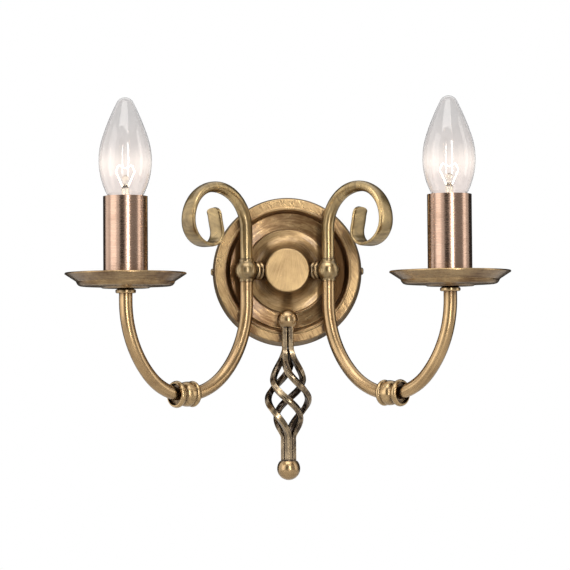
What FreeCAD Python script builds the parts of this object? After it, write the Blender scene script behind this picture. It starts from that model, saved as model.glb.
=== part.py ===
"""A wall sconce with two arms, each with a scroll above and a candle lamp in a drip pan.

Millimetres.  The wall is the plane Y = 0, the sconce stands out from it towards -Y, and +Z is up.
The origin is the centre of the wall plate's back.  Every round piece is turned about its own Z
axis and then laid where it belongs.  The pieces of an arm share a frame: its origin is the centre
of the arm's ball, its X points outboard along the arm, and its Z is up.
"""
import FreeCAD, Part
import math
import os
import Sketcher

os.makedirs("parts", exist_ok=True)
doc = FreeCAD.newDocument("WallSconce")
vec = FreeCAD.Vector

# ---------------------------------------------------------------- driving dimensions
DIMENSIONS = [
    # wall plate: a spun cover with a flat rim, a bead and a shallow dish
    ("plate_back_radius", 53.1),
    ("plate_front_radius", 50.6),
    ("plate_depth", 27.2),
    ("plate_edge_round", 1.2),
    ("plate_sheet", 1.2),
    ("rim_width", 5.6),
    ("bead_width", 2.7),
    ("bead_round", 1.45),
    ("dish_depth", 7.4),
    ("dish_wall_draft", 1.2),
    ("dish_corner", 1.3),
    ("dish_fall", 1.6),
    ("floor_radius", 30.2),
    ("wiring_hole_radius", 18.0),
    # hub: a turned trumpet on the floor of the dish
    ("hub_foot_radius", 29.2),
    ("hub_foot_height", 2.2),
    ("hub_foot_round", 0.8),
    ("hub_flare_foot", 25.3),
    ("hub_flare_rise", 0.5),
    ("hub_flare_round", 13.5),
    ("hub_neck_radius", 15.4),
    ("hub_height", 17.4),
    ("hub_edge_round", 1.1),
    ("hub_front_wall", 3.2),
    ("hub_bore_radius", 9.0),
    ("hub_bore_depth", 8.0),
    ("hub_mouth_radius", 14.6),
    ("hub_screw_circle", 22.6),
    ("hub_screw_radius", 1.5),
    ("hub_screw_length", 4.2),
    ("hub_screw_head_radius", 2.8),
    ("hub_screw_head_height", 1.9),
    # wall bracket: a strap with two bent ears that take the side screws
    ("bracket_thickness", 2.0),
    ("bracket_width", 16.0),
    ("ear_clearance", 0.3),
    ("ear_height", 15.0),
    ("slot_spacing", 60.0),
    ("slot_radius", 2.25),
    ("slot_run", 8.0),
    ("cable_hole_radius", 5.5),
    ("side_screw_height", 9.0),
    ("side_screw_radius", 1.5),
    ("side_screw_length", 9.0),
    ("side_screw_head_radius", 2.6),
    ("side_screw_head_height", 1.6),
    ("earth_screw_offset", 16.5),
    ("earth_screw_radius", 2.0),
    ("earth_screw_head_radius", 3.8),
    ("earth_screw_head_height", 2.4),
    ("earth_washer_radius", 4.6),
    ("earth_washer_thickness", 0.8),
    # terminal block
    ("pole_pitch", 8.4),
    ("block_depth", 13.0),
    ("block_height", 10.6),
    ("block_margin", 1.2),
    ("block_lift", 14.0),
    ("pole_radius", 2.6),
    ("pole_bore_radius", 1.9),
    ("pole_height", 4.4),
    ("pole_screw_radius", 1.5),
    ("pole_screw_head_radius", 1.9),
    ("pole_screw_length", 4.2),
    ("pole_screw_inset", 3.2),
    ("screw_slot_width", 0.8),
    # arm ball, stub and collar
    ("arm_turn", 42.0),
    ("ball_offset", 28.5),
    ("ball_stand_off", 34.5),
    ("ball_radius", 7.8),
    ("ball_neck_rise", 7.7),
    ("ball_neck_width", 0.7),
    ("ball_neck_round", 2.2),
    ("rod_seat", 4.6),
    ("wire_chamber_radius", 3.2),
    ("stub_radius", 4.0),
    ("stub_bore_radius", 2.7),
    ("stub_start", 3.6),
    ("stub_length", 18.6),
    ("collar_start", 5.7),
    ("collar_bead_radius", 6.4),
    ("collar_waist_radius", 5.6),
    ("collar_disc_radius", 6.6),
    ("collar_waist_at", 9.7),
    ("collar_length", 12.0),
    ("thread_clearance", 0.03),
    # arm tubes
    ("tube_radius", 4.5),
    ("tube_wall", 1.1),
    ("arm_drop", 85.6),
    ("arm_reach", 106.4),
    ("bend_drop_share", 0.9037),
    ("knuckle_share", 0.5216),
    ("inner_side_angle", 46.4),
    ("outer_side_angle", 43.7),
    # knuckle where the two tubes of an arm meet
    ("knuckle_inboard", 7.7),
    ("knuckle_outboard", 9.9),
    ("knuckle_rise", 0.45),
    ("knuckle_bead_radius", 8.9),
    ("knuckle_bead_width", 3.7),
    ("knuckle_groove_radius", 7.6),
    ("knuckle_groove_width", 0.9),
    ("knuckle_barrel_radius", 8.5),
    ("knuckle_barrel_width", 4.4),
    ("knuckle_waist_radius", 6.3),
    ("knuckle_flange_radius", 9.2),
    ("knuckle_flange_width", 5.2),
    ("knuckle_recess_radius", 7.5),
    ("knuckle_recess_depth", 2.4),
    # scroll
    ("scroll_rod_radius", 4.35),
    ("scroll_straight", 28.6),
    ("scroll_first_bend", 28.4),
    ("scroll_second_bend", 23.7),
    ("scroll_third_bend", 16.6),
    ("scroll_fourth_bend", 9.0),
    ("scroll_fourth_angle", 102.0),
    ("scroll_tail", 15.4),
    ("scroll_strip_width", 14.0),
    ("scroll_strip_thickness", 2.7),
    ("scroll_tip_round", 4.4),
    # finial
    ("finial_drop", 34.4),
    ("finial_stand_off", 34.2),
    ("finial_ball_radius", 7.35),
    ("finial_end_radius", 8.0),
    ("bar_side", 4.2),
    ("bar_edge_cut", 0.7),
    ("bar_gap", 0.12),
    ("bar_seat", 5.0),
    ("basket_top", 20.3),
    ("basket_length", 61.6),
    ("basket_radius", 16.9),
    ("basket_twist", 225.0),
    ("basket_tail", 16.3),
    ("stud_radius", 2.5),
    ("stud_grip", 4.0),
    ("stud_nut_across", 8.0),
    ("stud_nut_height", 3.2),
    ("stud_end", 1.2),
    # drip pan and its fixings, heights from the level of the arm balls
    ("pan_radius", 40.2),
    ("pan_rim_level", -4.5),
    ("pan_sheet", 1.0),
    ("pan_groove_radius", 33.9),
    ("pan_groove_drop", 4.6),
    ("pan_notch", 1.0),
    ("pan_band_radius", 31.2),
    ("pan_band_drop", 7.9),
    ("pan_floor_radius", 29.2),
    ("pan_floor_drop", 8.5),
    ("pan_foot_radius", 16.6),
    ("pan_foot_drop", 9.1),
    ("pan_seat_radius", 15.4),
    ("pan_seat_drop", 9.8),
    ("pan_collar_radius", 6.8),
    ("pan_collar_height", 3.2),
    ("pan_collar_neck", 0.7),
    ("tube_seat", 1.6),
    ("nipple_wall", 1.0),
    ("nipple_grip", 9.0),
    ("nipple_rise", 7.2),
    ("holder_nut_across", 11.0),
    ("holder_nut_height", 3.0),
    # lampholder and candle sleeve
    ("sleeve_radius", 14.8),
    ("sleeve_wall", 1.0),
    ("sleeve_top", 46.8),
    ("sleeve_gap", 0.2),
    ("holder_foot_radius", 9.5),
    ("holder_foot_height", 14.0),
    ("holder_radius", 12.4),
    ("holder_top", 37.6),
    ("holder_chamber_radius", 6.6),
    ("holder_web_low", 8.0),
    ("holder_web_high", 11.6),
    ("wire_hole_radius", 1.3),
    ("shell_radius", 8.0),
    ("shell_wall", 0.6),
    ("shell_inset", 0.8),
    ("contact_width", 3.6),
    ("contact_thickness", 0.5),
    ("contact_clearance", 0.25),
    # lamp, a candle bulb with a small screw cap
    ("lamp_radius", 17.6),
    ("lamp_widest_rise", 31.7),
    ("lamp_shoulder_round", 50.0),
    ("lamp_shoulder_angle", 18.0),
    ("lamp_taper_round", 161.0),
    ("lamp_taper_angle", 27.0),
    ("lamp_lower_round", 50.0),
    ("lamp_lower_angle", 36.0),
    ("lamp_neck_round", 3.0),
    ("lamp_neck_radius", 6.5),
    ("lamp_neck_depth", 5.3),
    ("lamp_glass_wall", 0.8),
    ("cap_thread_radius", 6.9),
    ("cap_thread_depth", 0.7),
    ("cap_thread_pitch", 2.82),
    ("cap_thread_turns", 5.0),
    ("cap_bottom", 17.4),
    ("cap_skirt_radius", 7.15),
    ("cap_top", 38.9),
    ("cap_wall", 0.35),
    ("insulator_drop", 2.6),
    ("lamp_contact_radius", 2.4),
    ("lamp_contact_height", 1.0),
    ("stem_radius", 2.6),
    ("stem_flare_radius", 5.4),
    ("stem_rise", 21.1),
    ("stem_bead_radius", 2.2),
    ("filament_wire_radius", 0.28),
    ("filament_spread", 6.2),
    ("filament_rise", 12.5),
    # wires
    ("wire_radius", 0.9),
    ("wire_spacing", 2.1),
    ("wire_bend", 3.4),
]

sheet = doc.addObject("Spreadsheet::Sheet", "Sizes")


class Size:
    """A number together with the expression that gives it from the sheet's cells."""

    def __init__(self, value, text):
        self.value = float(value)
        self.text = text

    def __add__(self, other):
        other = size(other)
        return Size(self.value + other.value, "(%s + %s)" % (self.text, other.text))

    def __sub__(self, other):
        other = size(other)
        return Size(self.value - other.value, "(%s - %s)" % (self.text, other.text))

    def __mul__(self, other):
        other = size(other)
        return Size(self.value * other.value, "(%s * %s)" % (self.text, other.text))

    def __truediv__(self, other):
        other = size(other)
        return Size(self.value / other.value, "(%s / %s)" % (self.text, other.text))

    def __radd__(self, other):
        return size(other) + self

    def __rsub__(self, other):
        return size(other) - self

    def __rmul__(self, other):
        return size(other) * self

    def __neg__(self):
        return Size(-self.value, "(-1 * %s)" % self.text)


def size(number):
    """A plain number as a Size."""
    return number if isinstance(number, Size) else Size(number, repr(float(number)))


def sine(angle):
    return Size(math.sin(math.radians(angle.value)), "sin(%s)" % angle.text)


def cosine(angle):
    return Size(math.cos(math.radians(angle.value)), "cos(%s)" % angle.text)


def root(number):
    return Size(math.sqrt(number.value), "sqrt(%s)" % number.text)


def least(first, second):
    return Size(min(first.value, second.value), "min(%s; %s)" % (first.text, second.text))


def most(first, second):
    return Size(max(first.value, second.value), "max(%s; %s)" % (first.text, second.text))


class Dimensions:
    """The cells of the sheet as attributes."""


dim = Dimensions()
for row, (name, number) in enumerate(DIMENSIONS, 1):
    sheet.set("A%d" % row, name)
    sheet.set("B%d" % row, repr(number))
    sheet.setAlias("B%d" % row, name)
    setattr(dim, name, Size(number, "Sizes." + name))
doc.recompute()

# ---------------------------------------------------------------- helpers
UPRIGHT = FreeCAD.Rotation()
OUT_OF_WALL = FreeCAD.Rotation(vec(1, 0, 0), 90)
parts = []


def keep(piece, name):
    """Marks an object as one of the sub-parts."""
    piece.Label = name
    parts.append(piece)
    return piece


def lay(piece, base, rotation=UPRIGHT):
    """Turns a piece and binds its base point to the sheet."""
    base = [size(number) for number in base]
    piece.Placement = FreeCAD.Placement(vec(*[number.value for number in base]), rotation)
    for axis, number in zip("xyz", base):
        piece.setExpression("Placement.Base." + axis, number.text)
    return piece


def pin(sketch, geometry, end, x, y):
    """Holds one end of a sketch edge at a place that the sheet gives."""
    for kind, number, axis in (("DistanceX", x, -2), ("DistanceY", y, -1)):
        if number.value == 0:
            sketch.addConstraint(Sketcher.Constraint("PointOnObject", geometry, end, axis))
            continue
        index = sketch.addConstraint(Sketcher.Constraint(kind, -1, 1, geometry, end, number.value))
        sketch.setExpression("Constraints[%d]" % index, number.text)


def new_sketch(body, plane):
    """An empty sketch on one of a body's own planes."""
    sketch = body.newObject("Sketcher::SketchObject", body.Name + "_sketch")
    support = [item for item in body.Origin.OriginFeatures if item.Role == plane][0]
    sketch.AttachmentSupport = (support, [""])
    sketch.MapMode = "FlatFace"
    return sketch


def edge_between(start, end, bend):
    """A line, or an arc of the given radius: plus turns left from start to end, minus right."""
    if bend is None:
        return Part.LineSegment(start, end), 1, 2
    chord = end - start
    radius = abs(bend.value)
    side = 1 if bend.value > 0 else -1
    reach = math.sqrt(max(radius ** 2 - (chord.Length / 2) ** 2, 0))
    normal = vec(-chord.y, chord.x, 0).normalize()
    centre = start + chord * 0.5 + normal * (side * reach)
    first, last = (start, end) if side > 0 else (end, start)
    angles = [math.atan2(point.y - centre.y, point.x - centre.x) for point in (first, last)]
    circle = Part.Circle(centre, vec(0, 0, 1), radius)
    arc = Part.ArcOfCircle(circle, angles[0], angles[1])
    return (arc, 1, 2) if side > 0 else (arc, 2, 1)


def draw(body, plane, points, closed=True):
    """Draws an outline through points (x, y) or (x, y, bend of the edge that arrives there)."""
    sketch = new_sketch(body, plane)
    places = [(size(point[0]), size(point[1])) for point in points]
    bends = [size(point[2]) if len(point) > 2 else None for point in points]
    count = len(points)
    edges = []
    for index in range(count if closed else count - 1):
        after = (index + 1) % count
        start, end = [vec(x.value, y.value, 0) for x, y in (places[index], places[after])]
        shape, first, last = edge_between(start, end, bends[after])
        edges.append((sketch.addGeometry(shape, False), first, last))
        geometry = edges[-1][0]
        if index == 0:
            pin(sketch, geometry, first, *places[0])
        else:
            before, _, before_end = edges[index - 1]
            sketch.addConstraint(
                Sketcher.Constraint("Coincident", before, before_end, geometry, first))
        if after == 0:
            sketch.addConstraint(
                Sketcher.Constraint("Coincident", geometry, last, edges[0][0], edges[0][1]))
        else:
            pin(sketch, geometry, last, *places[after])
        if bends[after] is not None:
            bend = bends[after] if bends[after].value > 0 else -bends[after]
            mark = sketch.addConstraint(Sketcher.Constraint("Radius", geometry, bend.value))
            sketch.setExpression("Constraints[%d]" % mark, bend.text)
    return sketch


def circles(body, plane, rings):
    """Draws circles, each (x, y, radius)."""
    sketch = new_sketch(body, plane)
    for x, y, radius in rings:
        x, y, radius = size(x), size(y), size(radius)
        circle = Part.Circle(vec(x.value, y.value, 0), vec(0, 0, 1), radius.value)
        geometry = sketch.addGeometry(circle, False)
        pin(sketch, geometry, 3, x, y)
        mark = sketch.addConstraint(Sketcher.Constraint("Radius", geometry, radius.value))
        sketch.setExpression("Constraints[%d]" % mark, radius.text)
    return sketch


def turned(name, outline):
    """A body turned about its own Z axis from an outline of (radius, height) points."""
    body = doc.addObject("PartDesign::Body", name)
    sketch = draw(body, "XZ_Plane", outline)
    turn = body.newObject("PartDesign::Revolution", name + "_turn")
    turn.Profile = sketch
    turn.ReferenceAxis = (sketch, ["V_Axis"])
    turn.Angle = 360
    return body


def ring(name, outer, inner, low, high):
    """A plain tube about its own Z axis."""
    return turned(name, [(inner, low), (outer, low), (outer, high), (inner, high)])


def rod(name, radius, length, base, rotation=UPRIGHT):
    """A plain round rod, from its base along its own Z axis."""
    piece = doc.addObject("Part::Cylinder", name)
    piece.setExpression("Radius", size(radius).text)
    piece.setExpression("Height", size(length).text)
    return lay(piece, base, rotation)


def block(name, lengths, base, rotation=UPRIGHT):
    """A box, from its base corner."""
    piece = doc.addObject("Part::Box", name)
    for side, number in zip(("Length", "Width", "Height"), lengths):
        piece.setExpression(side, size(number).text)
    return lay(piece, base, rotation)


def together(name, pieces):
    """Several objects as one group of separate solids."""
    group = doc.addObject("Part::Compound", name)
    group.Links = pieces
    return group


def cut(name, blank, tools):
    """A blank with the tools' shapes taken out of it."""
    piece = doc.addObject("Part::Cut", name)
    piece.Base = blank
    piece.Tool = tools[0] if len(tools) == 1 else together(name + "_tools", tools)
    return piece


def hexagon(name, across, height, bore, base, rotation=UPRIGHT):
    """A hexagonal nut, from the middle of its lower face."""
    prism = doc.addObject("Part::Prism", name + "_blank")
    prism.Polygon = 6
    prism.setExpression("Circumradius", (size(across) / root(size(3))).text)
    prism.setExpression("Height", size(height).text)
    lay(prism, base, rotation)
    return cut(name, prism, [rod(name + "_bore", bore, height, base, rotation)])


def screw(name, radius, length, head_radius, head_height, base, rotation):
    """A slotted screw: its head starts at the base, and its shank points back from there."""
    body = turned(name + "_turned", [
        (0, -length), (radius * 0.7, -length), (radius, -length + radius * 0.5), (radius, 0),
        (head_radius, 0), (head_radius, head_height * 0.45),
        (head_radius * 0.55, head_height, head_radius), (0, head_height)])
    lay(body, base, rotation)
    slot = block(name + "_slot", (head_radius * 3, dim.screw_slot_width, head_height),
                 (0, 0, 0))
    corner = rotation.multVec(vec(-1, 0, 0)), rotation.multVec(vec(0, -1, 0))
    lift = rotation.multVec(vec(0, 0, 1))
    place = []
    for axis, number in zip("xyz", base):
        place.append(size(number)
                     + head_radius * 1.5 * getattr(corner[0], axis)
                     + dim.screw_slot_width * 0.5 * getattr(corner[1], axis)
                     + head_height * 0.55 * getattr(lift, axis))
    lay(slot, place, rotation)
    return cut(name, body, [slot])


# ---------------------------------------------------------------- wall plate
plate_wall_radius = dim.plate_front_radius - dim.rim_width - dim.bead_width
dish_level = dim.plate_depth - dim.dish_depth
floor_level = dish_level - dim.dish_fall
plate_slope = (dim.plate_back_radius - dim.plate_front_radius) / dim.plate_depth
plate_widest = most(dim.plate_back_radius, dim.plate_front_radius)
plate_blank = turned("plate_blank", [
    (dim.plate_back_radius, 0),
    (dim.plate_front_radius, dim.plate_depth - dim.plate_edge_round),
    (dim.plate_front_radius - dim.plate_edge_round, dim.plate_depth, dim.plate_edge_round),
    (dim.plate_front_radius - dim.rim_width, dim.plate_depth),
    (plate_wall_radius, dim.plate_depth, dim.bead_round),
    (plate_wall_radius - dim.dish_wall_draft, dish_level + dim.dish_corner),
    (plate_wall_radius - dim.dish_wall_draft - dim.dish_corner, dish_level, -dim.dish_corner * 1.05),
    (dim.floor_radius, floor_level),
    (dim.wiring_hole_radius, floor_level),
    (dim.wiring_hole_radius, floor_level - dim.plate_sheet),
    (dim.floor_radius, floor_level - dim.plate_sheet),
    (plate_wall_radius - dim.dish_wall_draft, dish_level - dim.plate_sheet),
    (plate_wall_radius - dim.dish_wall_draft + dim.plate_sheet, dish_level + dim.dish_corner),
    (plate_wall_radius + dim.plate_sheet, dim.plate_depth - dim.plate_sheet),
    (dim.plate_front_radius - dim.plate_sheet, dim.plate_depth - dim.plate_sheet),
    (dim.plate_back_radius - dim.plate_sheet, 0)])
lay(plate_blank, (0, 0, 0), OUT_OF_WALL)

hub_screw_places = []
for index in range(3):
    angle = math.radians(90 + 120 * index)
    hub_screw_places.append((dim.hub_screw_circle * math.cos(angle),
                             dim.hub_screw_circle * math.sin(angle)))

plate_holes = [rod("plate_screw_hole_%d" % (index + 1),
                   dim.hub_screw_radius + dim.thread_clearance, dim.plate_depth,
                   (x, 0, z), OUT_OF_WALL)
               for index, (x, z) in enumerate(hub_screw_places)]
plate_holes.append(rod("plate_side_holes", dim.side_screw_radius + dim.thread_clearance,
                       plate_widest * 2, (-plate_widest, -dim.side_screw_height, 0),
                       FreeCAD.Rotation(vec(0, 1, 0), 90)))
plate_holes.append(rod("plate_stud_hole", dim.stud_radius + dim.thread_clearance,
                       dim.plate_depth, (0, 0, -dim.finial_drop), OUT_OF_WALL))
keep(cut("backplate", plate_blank, plate_holes), "backplate")

# ---------------------------------------------------------------- hub
hub_top = floor_level + dim.hub_height
flare_low = floor_level + dim.hub_foot_height + dim.hub_flare_rise
hub_outside = [
    (dim.hub_foot_radius, floor_level),
    (dim.hub_foot_radius, floor_level + dim.hub_foot_height - dim.hub_foot_round),
    (dim.hub_foot_radius - dim.hub_foot_round, floor_level + dim.hub_foot_height,
     dim.hub_foot_round),
    (dim.hub_flare_foot, flare_low),
    (dim.hub_neck_radius, hub_top - dim.hub_edge_round, -dim.hub_flare_round),
    (dim.hub_neck_radius - dim.hub_edge_round, hub_top, dim.hub_edge_round * 1.05),
    (0, hub_top)]
hub_blank = turned("hub_blank", hub_outside + [
    (0, hub_top - dim.hub_front_wall),
    (dim.hub_bore_radius, hub_top - dim.hub_front_wall),
    (dim.hub_bore_radius, hub_top - dim.hub_front_wall - dim.hub_bore_depth),
    (dim.hub_mouth_radius, floor_level)])
lay(hub_blank, (0, 0, 0), OUT_OF_WALL)
hub_form = turned("hub_form", hub_outside + [
    (0, floor_level - dim.plate_sheet * 2), (dim.hub_foot_radius, floor_level - dim.plate_sheet * 2)])
lay(hub_form, (0, 0, 0), OUT_OF_WALL)

SIDES = (("left", -1), ("right", 1))


def arm_rotation(sign, inner=UPRIGHT):
    """How a piece drawn in the arm's frame is turned on the left (-1) or right (+1) side."""
    angle = -dim.arm_turn.value if sign > 0 else 180 + dim.arm_turn.value
    return FreeCAD.Rotation(vec(0, 0, 1), angle).multiply(inner)


def on_arm(sign, outboard, up):
    """The place of a point of the arm's own plane, from its reach and its height."""
    outboard = size(outboard)
    return ((dim.ball_offset + outboard * cosine(dim.arm_turn)) * sign,
            -(dim.ball_stand_off + outboard * sine(dim.arm_turn)), up)


TO_HUB = FreeCAD.Rotation(vec(0, 1, 0), -90)
OUTBOARD = FreeCAD.Rotation(vec(0, 1, 0), 90)

stub_end = dim.stub_start + dim.stub_length
hub_holes = [rod("hub_hole_" + side, dim.stub_radius + dim.thread_clearance, dim.stub_length,
                 on_arm(sign, -dim.stub_start, 0), arm_rotation(sign, TO_HUB))
             for side, sign in SIDES]
hub_holes += [rod("hub_screw_hole_%d" % (index + 1), dim.hub_screw_radius + dim.thread_clearance,
                  dim.hub_screw_length, (x, -(floor_level - dim.plate_sheet), z), OUT_OF_WALL)
              for index, (x, z) in enumerate(hub_screw_places)]
keep(cut("hub", hub_blank, hub_holes), "hub")

INTO_PLATE = FreeCAD.Rotation(vec(1, 0, 0), -90)
hub_screws = [screw("hub_screw_%d" % (index + 1), dim.hub_screw_radius,
                    dim.hub_screw_length - dim.thread_clearance, dim.hub_screw_head_radius,
                    dim.hub_screw_head_height,
                    (x, -(floor_level - dim.plate_sheet), z), INTO_PLATE)
              for index, (x, z) in enumerate(hub_screw_places)]
keep(together("hub_screws", hub_screws), "hub_screws")

# ---------------------------------------------------------------- wall bracket
plate_inside = dim.plate_back_radius - dim.plate_sheet
ear_corner = least(plate_inside, plate_inside - plate_slope * dim.ear_height) - dim.ear_clearance
ear_outside = root(ear_corner * ear_corner - dim.bracket_width * dim.bracket_width / 4)
strap = block("bracket_strap", (ear_outside * 2, dim.bracket_thickness, dim.bracket_width),
              (-ear_outside, -dim.bracket_thickness, -dim.bracket_width / 2))
ears = [block("bracket_ear_" + side, (dim.bracket_thickness, dim.ear_height, dim.bracket_width),
              ((ear_outside if sign < 0 else ear_outside - dim.bracket_thickness) * sign,
               -dim.ear_height, -dim.bracket_width / 2))
        for side, sign in SIDES]
bracket_blank = doc.addObject("Part::MultiFuse", "bracket_blank")
bracket_blank.Shapes = [strap] + ears
bracket_tools = [rod("bracket_cable_hole", dim.cable_hole_radius, dim.bracket_thickness,
                     (0, 0, 0), OUT_OF_WALL)]
for side, sign in SIDES:
    near = dim.slot_spacing / 2 - dim.slot_run / 2
    far = dim.slot_spacing / 2 + dim.slot_run / 2
    for end, x in (("near", near), ("far", far)):
        bracket_tools.append(rod("bracket_slot_%s_%s" % (side, end), dim.slot_radius,
                                 dim.bracket_thickness, (x * sign, 0, 0), OUT_OF_WALL))
    bracket_tools.append(block("bracket_slot_" + side,
                               (dim.slot_run, dim.bracket_thickness, dim.slot_radius * 2),
                               ((near if sign > 0 else -far), -dim.bracket_thickness,
                                -dim.slot_radius)))
bracket_tools.append(rod("bracket_ear_holes", dim.side_screw_radius + dim.thread_clearance,
                         ear_outside * 2, (-ear_outside, -dim.side_screw_height, 0),
                         FreeCAD.Rotation(vec(0, 1, 0), 90)))
bracket_tools.append(rod("bracket_earth_hole", dim.earth_screw_radius + dim.thread_clearance,
                         dim.bracket_thickness, (dim.earth_screw_offset, 0, 0), OUT_OF_WALL))
bracket_tool = doc.addObject("Part::MultiFuse", "bracket_tool")
bracket_tool.Shapes = bracket_tools
keep(cut("wall_bracket", bracket_blank, [bracket_tool]), "wall_bracket")

side_screws = []
head_low = dim.side_screw_height - dim.side_screw_head_radius
head_high = dim.side_screw_height + dim.side_screw_head_radius
skirt_outside = most(dim.plate_back_radius - plate_slope * head_low,
                     dim.plate_back_radius - plate_slope * head_high)
for side, sign in SIDES:
    outward = FreeCAD.Rotation(vec(0, 1, 0), 90 * sign)
    side_screws.append(screw("side_screw_" + side, dim.side_screw_radius, dim.side_screw_length,
                             dim.side_screw_head_radius, dim.side_screw_head_height,
                             (skirt_outside * sign, -dim.side_screw_height, 0), outward))
keep(together("cover_screws", side_screws), "cover_screws")

earth_washer = ring("earth_washer", dim.earth_washer_radius,
                    dim.earth_screw_radius + dim.thread_clearance, 0,
                    dim.earth_washer_thickness)
lay(earth_washer, (dim.earth_screw_offset, -dim.bracket_thickness, 0), OUT_OF_WALL)
earth_bolt = screw("earth_bolt", dim.earth_screw_radius,
                   dim.bracket_thickness + dim.earth_washer_thickness,
                   dim.earth_screw_head_radius, dim.earth_screw_head_height,
                   (dim.earth_screw_offset,
                    -dim.bracket_thickness - dim.earth_washer_thickness, 0), OUT_OF_WALL)
keep(together("earth_screw", [earth_bolt, earth_washer]), "earth_screw")

# ---------------------------------------------------------------- terminal block
POLES = (-1, 0, 1)
block_width = dim.pole_pitch * 3 + dim.block_margin
block_blank = block("block_blank", (block_width, dim.block_height, dim.block_depth),
                    (-block_width / 2, -dim.bracket_thickness - dim.block_height,
                     dim.block_lift))
pole_level = dim.bracket_thickness + dim.pole_height
block_tools = []
inserts = []
pole_screws = []
for pole in POLES:
    mark = "pole_%d" % (pole + 2)
    x = dim.pole_pitch * pole
    block_tools.append(rod(mark + "_seat", dim.pole_radius, dim.block_depth,
                           (x, -pole_level, dim.block_lift)))
    sleeve = rod(mark + "_sleeve", dim.pole_radius - dim.thread_clearance, dim.block_depth,
                 (x, -pole_level, dim.block_lift))
    sleeve_tools = [rod(mark + "_bore", dim.pole_bore_radius, dim.block_depth,
                        (x, -pole_level, dim.block_lift))]
    for row, z in (("low", dim.block_lift + dim.pole_screw_inset),
                   ("high", dim.block_lift + dim.block_depth - dim.pole_screw_inset)):
        block_tools.append(rod("%s_well_%s" % (mark, row),
                               dim.pole_screw_head_radius + dim.thread_clearance,
                               dim.block_height, (x, -pole_level, z), OUT_OF_WALL))
        sleeve_tools.append(rod("%s_thread_%s" % (mark, row),
                                dim.pole_screw_radius + dim.thread_clearance,
                                dim.block_height, (x, -pole_level, z), OUT_OF_WALL))
        pole_screws.append(screw("%s_screw_%s" % (mark, row), dim.pole_screw_radius,
                                 dim.pole_screw_length - dim.pole_screw_head_radius
                                 - dim.screw_slot_width,
                                 dim.pole_screw_head_radius, dim.pole_screw_head_radius,
                                 (x, -pole_level - dim.pole_screw_length + dim.screw_slot_width,
                                  z), OUT_OF_WALL))
    inserts.append(cut(mark + "_insert", sleeve, sleeve_tools))
block_tool = doc.addObject("Part::MultiFuse", "block_tool")
block_tool.Shapes = block_tools
keep(cut("terminal_block", block_blank, [block_tool]), "terminal_block")
keep(together("terminal_inserts", inserts), "terminal_inserts")
keep(together("terminal_screws", pole_screws), "terminal_screws")

# ---------------------------------------------------------------- finial under the hub
finial_depth = dim.finial_stand_off
ball_flat = root(dim.finial_ball_radius * dim.finial_ball_radius - dim.bar_seat * dim.bar_seat)
finial_blank = turned("finial_ball_blank", [
    (0, -dim.bar_seat), (ball_flat, -dim.bar_seat),
    (0, dim.finial_ball_radius, dim.finial_ball_radius)])
lay(finial_blank, (0, -finial_depth, -dim.finial_drop))
stud_back = floor_level - dim.plate_sheet - dim.stud_nut_height - dim.stud_end
stud_front = finial_depth - dim.finial_ball_radius + dim.stud_grip
finial_hole = rod("finial_ball_hole", dim.stud_radius + dim.thread_clearance,
                  dim.stud_grip, (0, -(stud_front - dim.stud_grip), -dim.finial_drop), OUT_OF_WALL)
keep(cut("finial_top_ball", finial_blank, [finial_hole]), "finial_top_ball")
keep(rod("finial_stud", dim.stud_radius, stud_front - stud_back - dim.thread_clearance,
         (0, -stud_back, -dim.finial_drop), OUT_OF_WALL), "finial_stud")
nut_face = floor_level - dim.plate_sheet - dim.stud_nut_height
keep(hexagon("finial_nut", dim.stud_nut_across, dim.stud_nut_height,
             dim.stud_radius + dim.thread_clearance,
             (0, -nut_face, -dim.finial_drop), OUT_OF_WALL), "finial_nut")

basket_high = -dim.finial_drop - dim.basket_top
basket_low = basket_high - dim.basket_length
bundle_low = basket_low - dim.basket_tail
end_flat = dim.bar_side * math.sqrt(2) + dim.bar_gap
end_rise = root(dim.finial_end_radius * dim.finial_end_radius - end_flat * end_flat)
end_ball = turned("finial_bottom_ball", [
    (0, end_rise), (0, -dim.finial_end_radius), (end_flat, end_rise, dim.finial_end_radius)])
keep(lay(end_ball, (0, -finial_depth, bundle_low - end_rise)), "finial_bottom_ball")

BASKET_STEPS = 26
BASKET_PEAK = 1.18
BASKET_ROUND = 1.25
TWIST_EASE = 0.35


def basket_section(height, turned_by, radius, lean_out, lean_round):
    """One bar's square section with its corners cut, its diagonal pointing out from the axis."""
    spread = (radius - dim.bar_side.value / math.sqrt(2)) / dim.bar_side.value
    free = min(max(spread - 0.3, 0), 1)
    lean_out, lean_round = lean_out * free, lean_round * free
    outward = vec(math.cos(turned_by), math.sin(turned_by), 0)
    around = vec(-math.sin(turned_by), math.cos(turned_by), 0)
    along = (vec(0, 0, -1) + outward * lean_out + around * lean_round).normalize()
    across = (outward - along * outward.dot(along)).normalize()
    beside = along.cross(across)
    half = (dim.bar_side.value - dim.bar_gap.value) / math.sqrt(2)
    centre = outward * radius + vec(0, 0, height)
    corners = [centre + across * half, centre + beside * half,
               centre - across * half, centre - beside * half]
    ring_points = []
    for index, corner in enumerate(corners):
        for neighbour in (corners[index - 1], corners[(index + 1) % 4]):
            edge_run = (neighbour - corner).normalize() * dim.bar_edge_cut.value
            ring_points.append(corner + edge_run)
    return Part.makePolygon(ring_points + ring_points[:1])


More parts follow.
